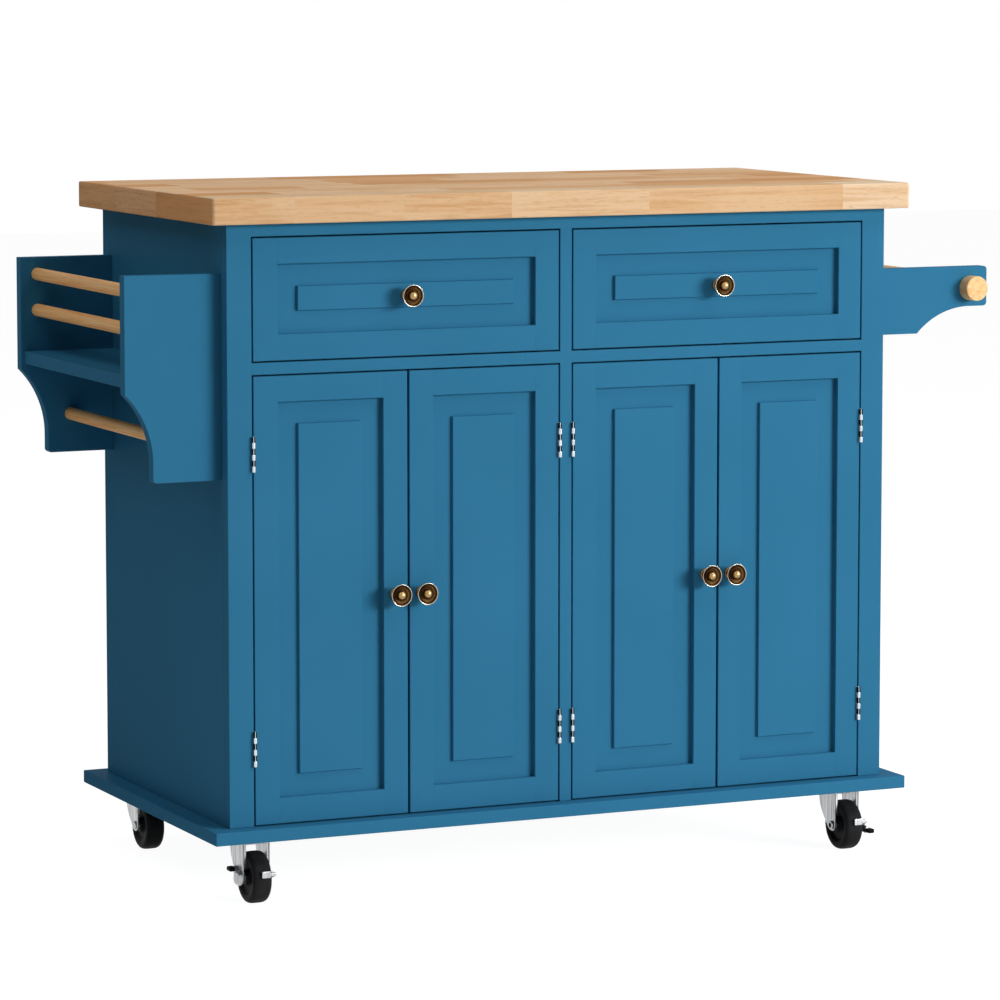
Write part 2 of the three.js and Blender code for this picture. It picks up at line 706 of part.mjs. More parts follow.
const halfTopWidth = worktopWidth / 2;
const halfTopDepth = worktopDepth / 2;
const worktop = block(-halfTopWidth, halfTopWidth, -halfTopDepth, halfTopDepth, worktopUnderside, worktopHeight);
const baseBoard = block(-halfTopWidth, halfTopWidth, -halfTopDepth, halfTopDepth, baseHeight, baseTop);
const backPanel = block(-halfBody, halfBody, bodyBack - backThickness, bodyBack, carcassBottom, carcassTop);

const island = new THREE.Group();
island.name = 'kitchen_island_unit';
island.add(
  piece('worktop', worktop, oiledRubberwood),
  piece('base_board', baseBoard, bluePaint),
  piece('side_panel_left', sidePanel(-1), bluePaint),
  piece('side_panel_right', sidePanel(1), bluePaint),
  piece('centre_divider', centreDivider(), bluePaint),
  piece('back_panel', backPanel, bluePaint),
  piece('face_frame', faceFrame(frameMortises), bluePaint),
  piece('shelf_left', innerShelf(-1), bluePaint),
  piece('shelf_right', innerShelf(1), bluePaint),
  drawerGroup('left', -1),
  drawerGroup('right', 1),
  ...doors.map(doorGroup),
  ...doors.map(fixedLeaves),
  ...casters(),
  ...spiceRack(),
  ...towelRack(),
);

// The racks reach out unequally, so the cabinet stands off the middle of the whole.
const extent = new THREE.Box3().setFromObject(island);
const middle = extent.getCenter(new THREE.Vector3());
island.position.set(-middle.x, -middle.y, 0);

const unit = new THREE.Group();
unit.add(island);
export default unit;
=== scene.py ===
import math
import bmesh
import bpy
from mathutils import Matrix, Vector


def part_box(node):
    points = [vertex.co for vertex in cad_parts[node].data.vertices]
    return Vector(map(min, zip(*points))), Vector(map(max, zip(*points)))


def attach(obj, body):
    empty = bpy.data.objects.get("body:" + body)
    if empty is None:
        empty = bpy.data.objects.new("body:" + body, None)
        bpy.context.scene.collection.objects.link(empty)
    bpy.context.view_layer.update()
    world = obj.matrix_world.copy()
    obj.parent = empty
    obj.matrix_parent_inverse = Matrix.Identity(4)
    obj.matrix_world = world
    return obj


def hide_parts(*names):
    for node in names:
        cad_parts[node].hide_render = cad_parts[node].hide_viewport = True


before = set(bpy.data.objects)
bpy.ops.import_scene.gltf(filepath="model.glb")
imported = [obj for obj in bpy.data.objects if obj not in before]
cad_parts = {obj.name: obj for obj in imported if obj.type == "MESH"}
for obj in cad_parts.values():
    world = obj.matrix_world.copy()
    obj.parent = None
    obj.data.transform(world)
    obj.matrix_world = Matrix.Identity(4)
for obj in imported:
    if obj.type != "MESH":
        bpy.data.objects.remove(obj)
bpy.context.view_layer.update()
scene = bpy.context.scene
mm = 0.001
print("frame loaded,", len(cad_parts), "nodes")


def linear(code):
    parts = [int(code[i:i + 2], 16) / 255 for i in (1, 3, 5)]
    parts = [p / 12.92 if p <= 0.04045 else ((p + 0.055) / 1.055) ** 2.4 for p in parts]
    return (*parts, 1)


# fills a socket with a number, a colour code, a socket or another node's first output
def fill(tree, socket, value):
    if isinstance(value, str):
        value = linear(value)
    if isinstance(value, bpy.types.Node):
        value = value.outputs[0]
    if isinstance(value, bpy.types.NodeSocket):
        tree.links.new(value, socket)
    else:
        socket.default_value = value


def addNode(tree, kind, sockets=None, stops=None, **settings):
    node = tree.nodes.new("ShaderNode" + kind)
    for name, value in settings.items():
        setattr(node, name, value)
    for socket, value in (sockets or {}).items():
        fill(tree, node.inputs[socket], value)
    if stops:
        elements = node.color_ramp.elements
        while len(elements) < len(stops):
            elements.new(0.5)
        for element, (place, code) in zip(elements, stops):
            element.position = place
            element.color = linear(code)
    return node


def emptyTree(owner):
    owner.use_nodes = True
    owner.node_tree.nodes.clear()
    return owner.node_tree


# a material whose shader has the given constants on its own sockets
def newMaterial(name, constants):
    material = bpy.data.materials.new(name)
    tree = emptyTree(material)
    shader = addNode(tree, "BsdfPrincipled", constants)
    addNode(tree, "OutputMaterial", {"Surface": shader})
    return material, tree, shader


# joins colour, roughness and relief to the shader; bump is the relief's strength and depth
def dress(tree, shader, colour, pattern, roughness, relief, bump):
    gloss = addNode(tree, "MapRange", {0: pattern, 3: roughness[0], 4: roughness[1]})
    bumps = addNode(tree, "Bump", {"Height": relief, "Strength": bump[0], "Distance": bump[1]})
    for socket, value in (("Base Color", colour), ("Roughness", gloss), ("Normal", bumps)):
        fill(tree, shader.inputs[socket], value)


# sprayed satin lacquer on MDF: an even colour and a soft sheen, with a faint orange peel
paintFinish = {
    "colour": "#327498",
    "deep": "#2f7194",
    "cloudScale": 5.0,
    "peel": 1.6,  # mm from one dimple to the next
    "roughness": (0.52, 0.58),
    "specular": 0.01,
    "bump": (0.12, 0.02 * mm),
}


def satinLacquer():
    material, tree, shader = newMaterial("satinLacquer", {
        "Specular IOR Level": paintFinish["specular"]})
    where = addNode(tree, "TexCoord").outputs["Object"]
    cloud = addNode(tree, "TexNoise", {
        "Vector": where, "Scale": paintFinish["cloudScale"], "Detail": 2.0})
    colour = addNode(tree, "ValToRGB", {0: cloud}, stops=[
        (0.3, paintFinish["deep"]), (0.7, paintFinish["colour"])])
    peel = addNode(tree, "TexNoise", {
        "Vector": where, "Scale": 1000 / paintFinish["peel"], "Detail": 1.0, "Roughness": 0.4})
    dress(tree, shader, colour, cloud, paintFinish["roughness"], peel, paintFinish["bump"])
    return material


# oiled rubberwood worktop: staves of finger-jointed blocks, each its own tone, fine dark pores
staveFinish = {
    "stave": 64 * mm,
    "block": 200 * mm,
    "finger": 8 * mm,
    "fingerSlope": 1.4,
    "slip": 83.1 * mm,  # each stave's blocks start this much further along
    # block lengths vary between about 150 and 300 mm: turns to a metre, phase, swing and its middle
    "lengthTurns": 6.0,
    "lengthPhase": (1.7, 1.505),
    "lengthSwing": (0.3, 0.1975),
    "endFacing": 0.75,
    "cellSeed": 3.7,
    "blockShift": (7, 5, 3),  # every block is cut from another place in the tree
    "tones": ["#cf9c6b", "#e9c8a1", "#f4dab6", "#f9e5c8"],
    # painted light on the front stave, and painted shade on the other staves and on the end faces
    "frontPaintedLight": 0.38,
    "paintedShadeColour": "#f0aa6c",
    "topPaintedShade": 0.35,
    "endPaintedShade": 0.3,
    # colour, stretch along and across the grain, detail, roughness, distortion, from, to, share
    "grain": {
        # broad bands of darker wood, 15 to 25 mm apart, that run on for most of a block
        "bands": ("#ddac76", (3, 38, 38), 2.0, 0.5, 0.8, 0.5, 0.68, 0.42),
        "figure": ("#c48850", (8, 170, 170), 4.0, 0.62, 0.6, 0.48, 0.68, 0.5),
        # pores are 0.2 mm wide; they are drawn 1.3 mm wide and 14 mm long so that they show
        "pores": ("#b98858", (75, 760, 760), 1.0, 0.5, 0.0, 0.58, 0.72, 0.36),
    },
    "seam": 0.5 * mm,
    "seamColour": "#b98858",
    "seamShare": 0.38,
    "roughness": (0.6, 0.75),
    "specular": 0.02,
    "bump": (0.35, -0.15 * mm),
}


def staveWood():
    finish = staveFinish
    material, tree, shader = newMaterial("oiledRubberwood", {
        "Specular IOR Level": finish["specular"]})
    low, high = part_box("worktop")
    centre = (low + high) / 2
    place = addNode(tree, "Mapping", {
        0: addNode(tree, "TexCoord").outputs["Object"],
        1: (-centre.x, -centre.y, -high.z)})
    # each end has a lipping whose grain runs from front to back
    facing = addNode(tree, "SeparateXYZ", {0: addNode(tree, "NewGeometry").outputs["Normal"]})
    sideways = addNode(tree, "Math", {0: facing.outputs[0]}, operation="ABSOLUTE")
    onEnd = addNode(tree, "Math", {0: sideways, 1: finish["endFacing"]}, operation="GREATER_THAN")
    plain = addNode(tree, "SeparateXYZ", {0: place})
    turned = addNode(tree, "CombineXYZ", {
        0: plain.outputs[1], 1: plain.outputs[0], 2: plain.outputs[2]})
    where = addNode(tree, "Mix", {0: onEnd, 4: place, 5: turned}, data_type="VECTOR").outputs[1]
    parts = addNode(tree, "SeparateXYZ", {0: where})

    # staves lie side by side; their joints have fingers, drawn as a slanting edge to and fro
    across = addNode(tree, "Math", {0: parts.outputs[1], 1: centre.y - low.y}, operation="ADD")
    staves = addNode(tree, "Math", {0: across, 1: finish["stave"]}, operation="DIVIDE")
    stave = addNode(tree, "Math", {0: staves}, operation="FLOOR")
    finger = addNode(tree, "Math", {0: parts.outputs[1], 1: finish["finger"] / 2},
        operation="PINGPONG")
    fingered = addNode(tree, "Math", {0: finger, 1: finish["fingerSlope"], 2: parts.outputs[0]},
        operation="MULTIPLY_ADD")
    along = addNode(tree, "Math", {0: stave, 1: finish["slip"], 2: fingered},
        operation="MULTIPLY_ADD")

    step, start = finish["lengthPhase"]
    staveStart = addNode(tree, "Math", {0: stave, 1: step, 2: start}, operation="MULTIPLY_ADD")
    turns = addNode(tree, "Math", {0: along, 1: finish["lengthTurns"]}, operation="MULTIPLY")
    phase = addNode(tree, "Math", {0: staveStart, 1: turns}, operation="ADD")
    wave = addNode(tree, "Math", {0: phase}, operation="SINE")
    reach, middle = finish["lengthSwing"]
    swing = addNode(tree, "Math", {0: wave, 1: reach, 2: middle}, operation="MULTIPLY_ADD")
    blocks = addNode(tree, "Math", {0: along, 1: 1 / finish["block"], 2: swing},
        operation="MULTIPLY_ADD")
    blockNumber = addNode(tree, "Math", {0: blocks}, operation="FLOOR")
    cell = addNode(tree, "CombineXYZ", {0: stave, 1: blockNumber, 2: finish["cellSeed"]})
    chance = addNode(tree, "TexWhiteNoise", {0: cell}, noise_dimensions="3D")

    # the front stave is held among the lightest tones, as painted light on the lit front edge; the
    # other staves and the end faces are mixed towards a warm, darker colour, as painted shade
    inFront = addNode(tree, "Math", {0: stave, 1: 0.0, 2: 0.5}, operation="COMPARE")
    frontLight = addNode(tree, "Math", {0: inFront, 1: finish["frontPaintedLight"]}, operation="MULTIPLY")
    paleness = addNode(tree, "Math", {0: frontLight, 1: chance.outputs["Value"]}, operation="MAXIMUM")
    pale = addNode(tree, "ValToRGB", {0: paleness}, stops=[
        (i / 3, code) for i, code in enumerate(finish["tones"])])
    inside = addNode(tree, "MapRange", {0: inFront, 3: finish["topPaintedShade"], 4: 0.0})
    shadeShare = addNode(tree, "Math", {0: onEnd, 1: finish["endPaintedShade"], 2: inside},
        operation="MULTIPLY_ADD")
    colour = addNode(tree, "Mix", {0: shadeShare, 6: pale, 7: finish["paintedShadeColour"]}, data_type="RGBA")

    shifted = addNode(tree, "VectorMath", {
        0: chance.outputs["Color"], 1: finish["blockShift"], 2: where}, operation="MULTIPLY_ADD")
    noises, shares = {}, {}
    for layer, values in finish["grain"].items():
        tint, stretch, detail, rough, distortion, begin, full, share = values
        stretched = addNode(tree, "VectorMath", {0: shifted, 1: stretch}, operation="MULTIPLY")
        noises[layer] = addNode(tree, "TexNoise", {
            "Vector": stretched, "Scale": 1.0, "Detail": detail, "Roughness": rough,
            "Distortion": distortion})
        shares[layer] = addNode(tree, "MapRange", {
            0: noises[layer], 1: begin, 2: full, 3: 0.0, 4: share})
        colour = addNode(tree, "Mix", {0: shares[layer], 6: colour.outputs[2], 7: tint},
            data_type="RGBA")

    staveEdge = addNode(tree, "Math", {0: across, 1: finish["stave"] / 2}, operation="PINGPONG")
    halfBlock = addNode(tree, "Math", {0: blocks, 1: 0.5}, operation="PINGPONG")
    blockEdge = addNode(tree, "Math", {0: halfBlock, 1: finish["block"]}, operation="MULTIPLY")
    nearest = addNode(tree, "Math", {0: staveEdge, 1: blockEdge}, operation="MINIMUM")
    seam = addNode(tree, "MapRange", {
        0: nearest, 1: finish["seam"], 2: 2 * finish["seam"], 3: finish["seamShare"], 4: 0.0})
    seamed = addNode(tree, "Mix", {0: seam, 6: colour.outputs[2], 7: finish["seamColour"]},
        data_type="RGBA")
    relief = addNode(tree, "Math", {0: shares["pores"], 1: seam}, operation="ADD")
    dress(tree, shader, seamed.outputs[2], noises["figure"], finish["roughness"], relief,
        finish["bump"])
    return material


# straight-grained wood whose grain follows each board or rod; the end grain shows its rings
grainFinish = {
    "figureStretch": (5, 140, 140),
    "waverStretch": (3, 18, 18),
    "waver": 9.0,
    "ringShare": 0.45,
    "poreStretch": (70, 800, 800),  # drawn wider than the real 0.2 mm, so that they show
    "poreShare": 0.3,
    "specular": 0.04,
    "bump": (0.3, -0.1 * mm),
}


def straightGrain(name, finish):
    material, tree, shader = newMaterial(name, {"Specular IOR Level": grainFinish["specular"]})
    where = addNode(tree, "Attribute", attribute_name="grainPlace").outputs["Vector"]
    fine = addNode(tree, "VectorMath", {0: where, 1: grainFinish["figureStretch"]},
        operation="MULTIPLY")
    figure = addNode(tree, "TexNoise", {
        "Vector": fine, "Scale": 1.0, "Detail": 3.0, "Roughness": 0.6, "Distortion": 0.5})
    broad = addNode(tree, "VectorMath", {0: where, 1: grainFinish["waverStretch"]},
        operation="MULTIPLY")
    drift = addNode(tree, "TexNoise", {"Vector": broad, "Scale": 1.0, "Detail": 2.0})
    waver = addNode(tree, "Math", {0: drift, 1: grainFinish["waver"]}, operation="MULTIPLY")
    parts = addNode(tree, "SeparateXYZ", {0: where})
    flat = addNode(tree, "CombineXYZ", {0: parts.outputs[1], 1: parts.outputs[2]})
    reach = addNode(tree, "VectorMath", {0: flat, 1: finish["pith"]}, operation="DISTANCE")
    ringCount = addNode(tree, "Math", {
        0: reach.outputs["Value"], 1: 2 * math.pi / finish["ring"], 2: waver},
        operation="MULTIPLY_ADD")
    wave = addNode(tree, "Math", {0: ringCount}, operation="SINE")
    rings = addNode(tree, "MapRange", {
        0: wave, 1: -0.2, 2: 1.0, 3: 0.0, 4: grainFinish["ringShare"]})
    body = addNode(tree, "ValToRGB", {0: figure}, stops=[
        (0.3, finish["dark"]), (0.5, finish["middle"]), (0.68, finish["light"])])
    colour = addNode(tree, "Mix", {0: rings, 6: body, 7: finish["latewood"]}, data_type="RGBA")
    dots = addNode(tree, "VectorMath", {0: where, 1: grainFinish["poreStretch"]},
        operation="MULTIPLY")
    pores = addNode(tree, "TexNoise", {"Vector": dots, "Scale": 1.0, "Detail": 1.0})
    poreShare = addNode(tree, "MapRange", {
        0: pores, 1: 0.58, 2: 0.72, 3: 0.0, 4: grainFinish["poreShare"]})
    dotted = addNode(tree, "Mix", {0: poreShare, 6: colour.outputs[2], 7: finish["dark"]},
        data_type="RGBA")
    dress(tree, shader, dotted.outputs[2], figure, finish["roughness"], poreShare,
        grainFinish["bump"])
    return material


# turned rubberwood rod, waxed: pale, with fine rings that show as straight lines along it
dowelFinish = {
    "pith": (0.011, 0.004, 0),
    "ring": 2.6 * mm,
    "dark": "#e8b079",
    "middle": "#f5c88f",
    "light": "#fad6a6",
    "latewood": "#eeb97e",
    "roughness": (0.44, 0.56),
}

# the same rod for the spice rack, its colours pushed brighter and more orange: painted light on
# rails that stand in shade
litRailFinish = {
    "pith": (0.008, 0.003, 0),
    "ring": 2.2 * mm,
    "dark": "#efa863",
    "middle": "#ffc988",
    "light": "#ffd69c",
    "latewood": "#f5b16c",
    "roughness": (0.44, 0.56),
}

# bare planed pine inside the drawers: pale, with wide soft growth rings
pineFinish = {
    "pith": (0.09, -0.06, 0),
    "ring": 5 * mm,
    "dark": "#c79a63",
    "middle": "#deb983",
    "light": "#e8caa0",
    "latewood": "#c9965a",
    "roughness": (0.56, 0.68),
}

# antique bronze: brass browned in the hollows and rubbed bright on the rim and the centre
knobFinish = {
    "brown": "#33200f",
    "brass": "#ab8c5e",
    "worn": "#b9b1a2",
    "patinaScale": 420.0,
    "patinaSpread": 0.12,
    "roughness": (0.42, 0.2),  # browned, rubbed
    "bump": (0.15, 0.05 * mm),
}


def antiqueBronze():
    material, tree, shader = newMaterial("antiqueBronze", {"Metallic": 1.0})
    where = addNode(tree, "TexCoord").outputs["Object"]
    rubbed = addNode(tree, "Attribute", attribute_name="rubbed").outputs["Fac"]
    patina = addNode(tree, "TexNoise", {
        "Vector": where, "Scale": knobFinish["patinaScale"], "Detail": 3.0})
    spread = addNode(tree, "MapRange", {
        0: patina, 3: -knobFinish["patinaSpread"], 4: knobFinish["patinaSpread"]})
    worn = addNode(tree, "Math", {0: rubbed, 1: spread}, operation="ADD", use_clamp=True)
    colour = addNode(tree, "ValToRGB", {0: worn}, stops=[
        (0.12, knobFinish["brown"]), (0.5, knobFinish["brass"]), (0.85, knobFinish["worn"])])
    dress(tree, shader, colour, worn, knobFinish["roughness"], patina, knobFinish["bump"])
    return material


# metals with streaks drawn along one direction: fine hairlines on the nickel, bands of painted
# reflection on the zinc, and painted shade all through the dark steel
metalFinish = {
    # light, dark, roughness, stretch, scale
    "kinds": {
        # polished nickel plate on steel: bright, slightly warm, hairline marks
        "polishedNickel": ("#e0e4e6", "#c4c9cc", (0.14, 0.26), (1, 1, 0.1), 900.0),
        # the rolled inside of the hinge knuckles: thin plating, darkened with oil
        # the door leaf's knuckles: near-black steel, painted shade standing in for the dark gaps
        # between the bright knuckles
        "paintedShadeSteel": ("#20252a", "#11161b", (0.39, 0.51), (1, 1, 0.1), 900.0),
        # bright zinc plate on pressed steel: cool grey with a satin shine, and broad upright light
        # and dark bands that are painted reflection
        "brightZinc": ("#d2d3d4", "#929497", (0.26, 0.38), (1, 1, 0.05), 260.0),
    },
    "bump": (0.08, 0.03 * mm),
}


def streakedMetal(name):
    light, dark, roughness, stretch, scale = metalFinish["kinds"][name]
    material, tree, shader = newMaterial(name, {"Metallic": 1.0})
    where = addNode(tree, "TexCoord").outputs["Object"]
    drawn = addNode(tree, "VectorMath", {0: where, 1: stretch}, operation="MULTIPLY")
    streaks = addNode(tree, "TexNoise", {"Vector": drawn, "Scale": scale, "Detail": 3.0})
    colour = addNode(tree, "ValToRGB", {0: streaks}, stops=[(0.3, dark), (0.7, light)])
    dress(tree, shader, colour, streaks, roughness, streaks, metalFinish["bump"])
    return material


# moulded rubber and nylon: nearly black and matt, lightly scuffed, with the mould's fine grain
blackFinish = {
    # light, dark, roughness, grain in mm
    "kinds": {
        "mouldedRubber": ("#2c2c2d", "#202021", (0.48, 0.62), 0.9),
        "mouldedNylon": ("#18181a", "#101011", (0.38, 0.52), 0.6),
    },
    "scuffScale": 45.0,
    "specular": 0.04,
    "bump": (0.15, 0.05 * mm),
}


def mouldedBlack(name):
    light, dark, roughness, mouldGrain = blackFinish["kinds"][name]
    material, tree, shader = newMaterial(name, {"Specular IOR Level": blackFinish["specular"]})
    where = addNode(tree, "TexCoord").outputs["Object"]
    scuffs = addNode(tree, "TexNoise", {
        "Vector": where, "Scale": blackFinish["scuffScale"], "Detail": 4.0})
    skin = addNode(tree, "TexNoise", {"Vector": where, "Scale": 1000 / mouldGrain, "Detail": 1.0})
    colour = addNode(tree, "ValToRGB", {0: scuffs}, stops=[(0.35, dark), (0.75, light)])
    dress(tree, shader, colour, scuffs, roughness, skin, blackFinish["bump"])
    return material


# what a piece is made of, and the record's slot for it
bluePaint = ([satinLacquer()], "blue_paint")
oiledTop = ([staveWood()], "oiled_rubberwood")
paleDowel = ([straightGrain("waxedRubberwood", dowelFinish)], "dowel_wood")
litRailDowel = ([straightGrain("litRailRubberwood", litRailFinish)], "dowel_wood")
barePine = ([straightGrain("planedPine", pineFinish)], "pine")
agedBronze = ([antiqueBronze()], "antique_bronze")
nickel, darkSteel, zinc = [streakedMetal(name) for name in metalFinish["kinds"]]
rubber, nylon = [mouldedBlack(name) for name in blackFinish["kinds"]]
# the door leaves' knuckles take the dark steel, which is painted shade
hingeSteel = ([nickel, darkSteel], "bright_nickel")
casterSteel = ([zinc], "zinc_plated_steel")
brakeSteel = ([zinc, nylon], "zinc_plated_steel")
wheelRubber = ([rubber, nylon], "black_rubber")
print("materials made")


def newShape():
    shape = bmesh.new()
    shape.verts.layers.float_vector.new("grainPlace")
    shape.verts.layers.float.new("rubbed")
    return shape


def fresh(shape, before):
    return [v for v in shape.verts if v not in before]


def freshFaces(shape, before):
    return [f for f in shape.faces if f.verts[0] not in before]


# edges of the shape that turn by more than some degrees, apart from those of the verts before
def corners(shape, degrees=60, before=()):
    return [e for e in shape.edges if e.verts[0] not in before
        and e.calc_face_angle(0) > math.radians(degrees)]


# the edges of a block that run up and down
def uprightEdges(shape):
    return [e for e in shape.edges if abs((e.verts[0].co - e.verts[1].co).z) > mm]


def roundOff(shape, geom, width, steps=2, affect="EDGES"):
    bmesh.ops.bevel(shape, geom=geom, offset=width, segments=steps, profile=0.5,
        affect=affect, material=-1, clamp_overlap=affect == "EDGES")


# pushes faces out by the given way and returns all that this makes
def pushOut(shape, faces, way, keep=True):
    made = bmesh.ops.extrude_face_region(shape, geom=faces, use_keep_orig=keep)["geom"]
    moved = [g for g in made if isinstance(g, bmesh.types.BMVert)]
    bmesh.ops.translate(shape, vec=way, verts=moved)
    return made


# the grain runs along the given axis (0, 1 or 2), measured from the given point
def setGrain(shape, verts, axis, origin):
    layer = shape.verts.layers.float_vector["grainPlace"]
    for v in verts:
        place = v.co - Vector(origin)
        v[layer] = (place[axis], place[(axis + 1) % 3], place[(axis + 2) % 3])


# plain block to start a piece from; its corners come in any order
def addBlock(shape, low, high):
    made = bmesh.ops.create_cube(shape, size=1)["verts"]
    bmesh.ops.scale(shape, vec=[abs(s) for s in high - low], verts=made)
    bmesh.ops.translate(shape, vec=(low + high) / 2, verts=made)


# board with its edges eased
def addBoard(shape, low, high, ease, steps=2, grainAxis=0):
    before = set(shape.verts)
    low, high = Vector(low), Vector(high)
    addBlock(shape, low, high)
    roundOff(shape, corners(shape, before=before), ease, steps)
    setGrain(shape, fresh(shape, before), grainAxis, low)


# round bar between two points on one axis, its ends eased
def addRod(shape, axis, radius, start, end, centre, sides, ease, steps=2):
    before = set(shape.verts)
    turn = [Matrix.Rotation(math.pi / 2, 4, "Y"), Matrix.Rotation(-math.pi / 2, 4, "X"),
        Matrix.Identity(4)][axis]
    middle = Vector(centre)
    middle[axis] = (start + end) / 2
    bmesh.ops.create_cone(shape, cap_ends=True, segments=sides, radius1=radius, radius2=radius,
        depth=abs(end - start), matrix=Matrix.Translation(middle) @ turn)
    if ease:
        roundOff(shape, corners(shape, before=before), ease, steps)
    setGrain(shape, fresh(shape, before), axis, centre)


# closed shape turned from (radius, height) points; height runs along the given direction
def addTurned(shape, profile, centre, direction, steps=48):
    before = set(shape.verts)
    side = Vector((0, 0, 1)) if abs(direction[2]) < 0.5 else Vector((1, 0, 0))
    way = Vector(direction)
    verts = [shape.verts.new(Vector(centre) + side * r + way * h) for r, h in profile]
    edges = [shape.edges.new(pair) for pair in zip(verts, verts[1:])]
    bmesh.ops.spin(shape, geom=verts + edges, cent=centre, axis=way, angle=2 * math.pi,
        steps=steps, use_merge=True)
    bmesh.ops.remove_doubles(shape, verts=fresh(shape, before), dist=0.01 * mm)
    bmesh.ops.recalc_face_normals(shape, faces=freshFaces(shape, before))
    return fresh(shape, before)


# flat outline given as few (y, z) points, corners rounded, pushed out to a thickness along X
def addPlate(shape, outline, x0, x1, rounding, ease):
    before = set(shape.verts)
    x0, x1 = min(x0, x1), max(x0, x1)
    verts = [shape.verts.new((x0, y, z)) for y, z in outline]
    shape.faces.new(verts)
    for vert, radius in zip(verts, rounding):
        if radius:
            roundOff(shape, [vert], radius, 6, "VERTICES")
    face = max(freshFaces(shape, before), key=lambda f: f.calc_area())
    pushOut(shape, [face], (x1 - x0, 0, 0))
    bmesh.ops.recalc_face_normals(shape, faces=freshFaces(shape, before))
    roundOff(shape, corners(shape, before=before), ease)


# faces made from the given number on show the finish's second material
def useSecond(shape, start):
    shape.faces.ensure_lookup_table()
    for face in shape.faces[start:]:
        face.material_index = 1


def addObject(name, data):
    thing = bpy.data.objects.new(name, data)
    scene.collection.objects.link(thing)
    return thing


smoothUpTo = 50  # degrees; steeper edges stay sharp


# turns the shape into a piece that rides on a body and stands for its CAD nodes
def finishPiece(shape, name, finish, body, *nodes):
    materials, slotName = finish
    mesh = bpy.data.meshes.new(name)
    shape.to_mesh(mesh)
    shape.free()
    for material in materials:
        mesh.materials.append(material)
    mesh.shade_smooth()
    mesh.set_sharp_from_angle(angle=math.radians(smoothUpTo))
    piece = addObject(name, mesh)
    # flat faces keep straight normals beside their eased edges
    weighting = piece.modifiers.new("flatFaces", "WEIGHTED_NORMAL")
    weighting.keep_sharp = True
    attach(piece, body)
    if nodes:
        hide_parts(*nodes)


# copy of a CAD node with its long edges eased
def easedCopy(node, name, ease):
    shape = newShape()
    shape.from_mesh(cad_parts[node].data)
    bmesh.ops.remove_doubles(shape, verts=shape.verts, dist=0.005 * mm)
    bmesh.ops.dissolve_limit(shape, angle_limit=math.radians(0.5), verts=shape.verts,
        edges=shape.edges)
    roundOff(shape, [e for e in corners(shape, 40) if e.is_manifold], ease)
    for face in shape.faces:
        face.material_index = 0
    finishPiece(shape, name, bluePaint, "cabinet", node)


worktop = {"cornerRound": 5 * mm, "edgeRound": 2 * mm}


def makeWorktop():
    shape = newShape()
    addBlock(shape, *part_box("worktop"))
    roundOff(shape, uprightEdges(shape), worktop["cornerRound"], 5)
    roundOff(shape, corners(shape), worktop["edgeRound"], 3)
    finishPiece(shape, "worktopBoard", oiledTop, "cabinet", "worktop")


makeWorktop()

# plain painted boards: CAD node, ease of the edges and its steps
boards = {
    "baseBoard": ("base_board", 1.2 * mm, 3),
    "backPanel": ("back_panel", 0.6 * mm, 2),
    "shelfLeft": ("shelf_left", 0.8 * mm, 2),
    "shelfRight": ("shelf_right", 0.8 * mm, 2),
}

for name, (node, ease, steps) in boards.items():
    shape = newShape()
    addBoard(shape, *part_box(node), ease, steps)
    finishPiece(shape, name, bluePaint, "cabinet", node)

carcass = {
    "panel": 17 * mm,
    "panelEase": 0.6 * mm,
    "stripEase": 0.8 * mm,
    "cleatWidth": 12 * mm,
    "cleatHeight": 18 * mm,
    "shelfUnderside": 389.7 * mm,
    "cleatFront": -180 * mm,
    "cleatBack": 210 * mm,
    "runnerTop": 711.7 * mm,
    "runnerHeight": 12 * mm,
    "guideHeight": 20 * mm,
    "sideRunner": (41 * mm, 22 * mm),  # how far runner and guide stand out from the panel
    "centreRunner": (24 * mm, 5 * mm),
}

# the cabinet stands off the middle of the whole, because the racks reach out unequally
topLow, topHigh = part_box("worktop")
islandX, islandY = (topLow.x + topHigh.x) / 2, (topLow.y + topHigh.y) / 2


# upright panel from x0 on, with shelf cleats and drawer runners on the sides listed
def makeUpright(node, name, x0, sides, runner):
    low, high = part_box(node)
    x1 = x0 + carcass["panel"]
    shape = newShape()
    addBoard(shape, (x0, low.y, low.z), (x1, high.y, high.z), carcass["panelEase"])
    finishPiece(shape, name, bluePaint, "cabinet", node)
    cleatStart, back = carcass["cleatFront"] + islandY, carcass["cleatBack"] + islandY
    cleatTop, runnerTop = carcass["shelfUnderside"], carcass["runnerTop"]
    runnerLow = runnerTop - carcass["runnerHeight"]
    runnerReach, guideReach = runner
    strips = newShape()
    for side in sides:
        face = x1 if side > 0 else x0
        for reach, start, bottom, upper in (
                (carcass["cleatWidth"], cleatStart, cleatTop - carcass["cleatHeight"], cleatTop),
                (runnerReach, low.y, runnerLow, runnerTop),
                (guideReach, low.y, runnerLow, runnerTop + carcass["guideHeight"])):
            addBoard(strips, (face, start, bottom), (face + side * reach, back, upper),
                carcass["stripEase"], grainAxis=1)
    finishPiece(strips, name + "Strips", barePine, "cabinet")


panel, sideRunner = carcass["panel"], carcass["sideRunner"]
leftEdge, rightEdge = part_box("side_panel_left")[0].x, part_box("side_panel_right")[1].x
makeUpright("side_panel_left", "sidePanelLeft", leftEdge, [1], sideRunner)
makeUpright("side_panel_right", "sidePanelRight", rightEdge - panel, [-1], sideRunner)
makeUpright("centre_divider", "centreDivider", islandX - panel / 2, [-1, 1],
    carcass["centreRunner"])

faceFrame = {
    "outerStile": 34 * mm,
    "centreStile": 17 * mm,
    "topRail": 16.5 * mm,
    "drawerOpening": 162 * mm,
    "middleRail": 15.6 * mm,
    "ease": 0.6 * mm,
    "jointWidth": 1 * mm,
    "jointDepth": 0.5 * mm,
}


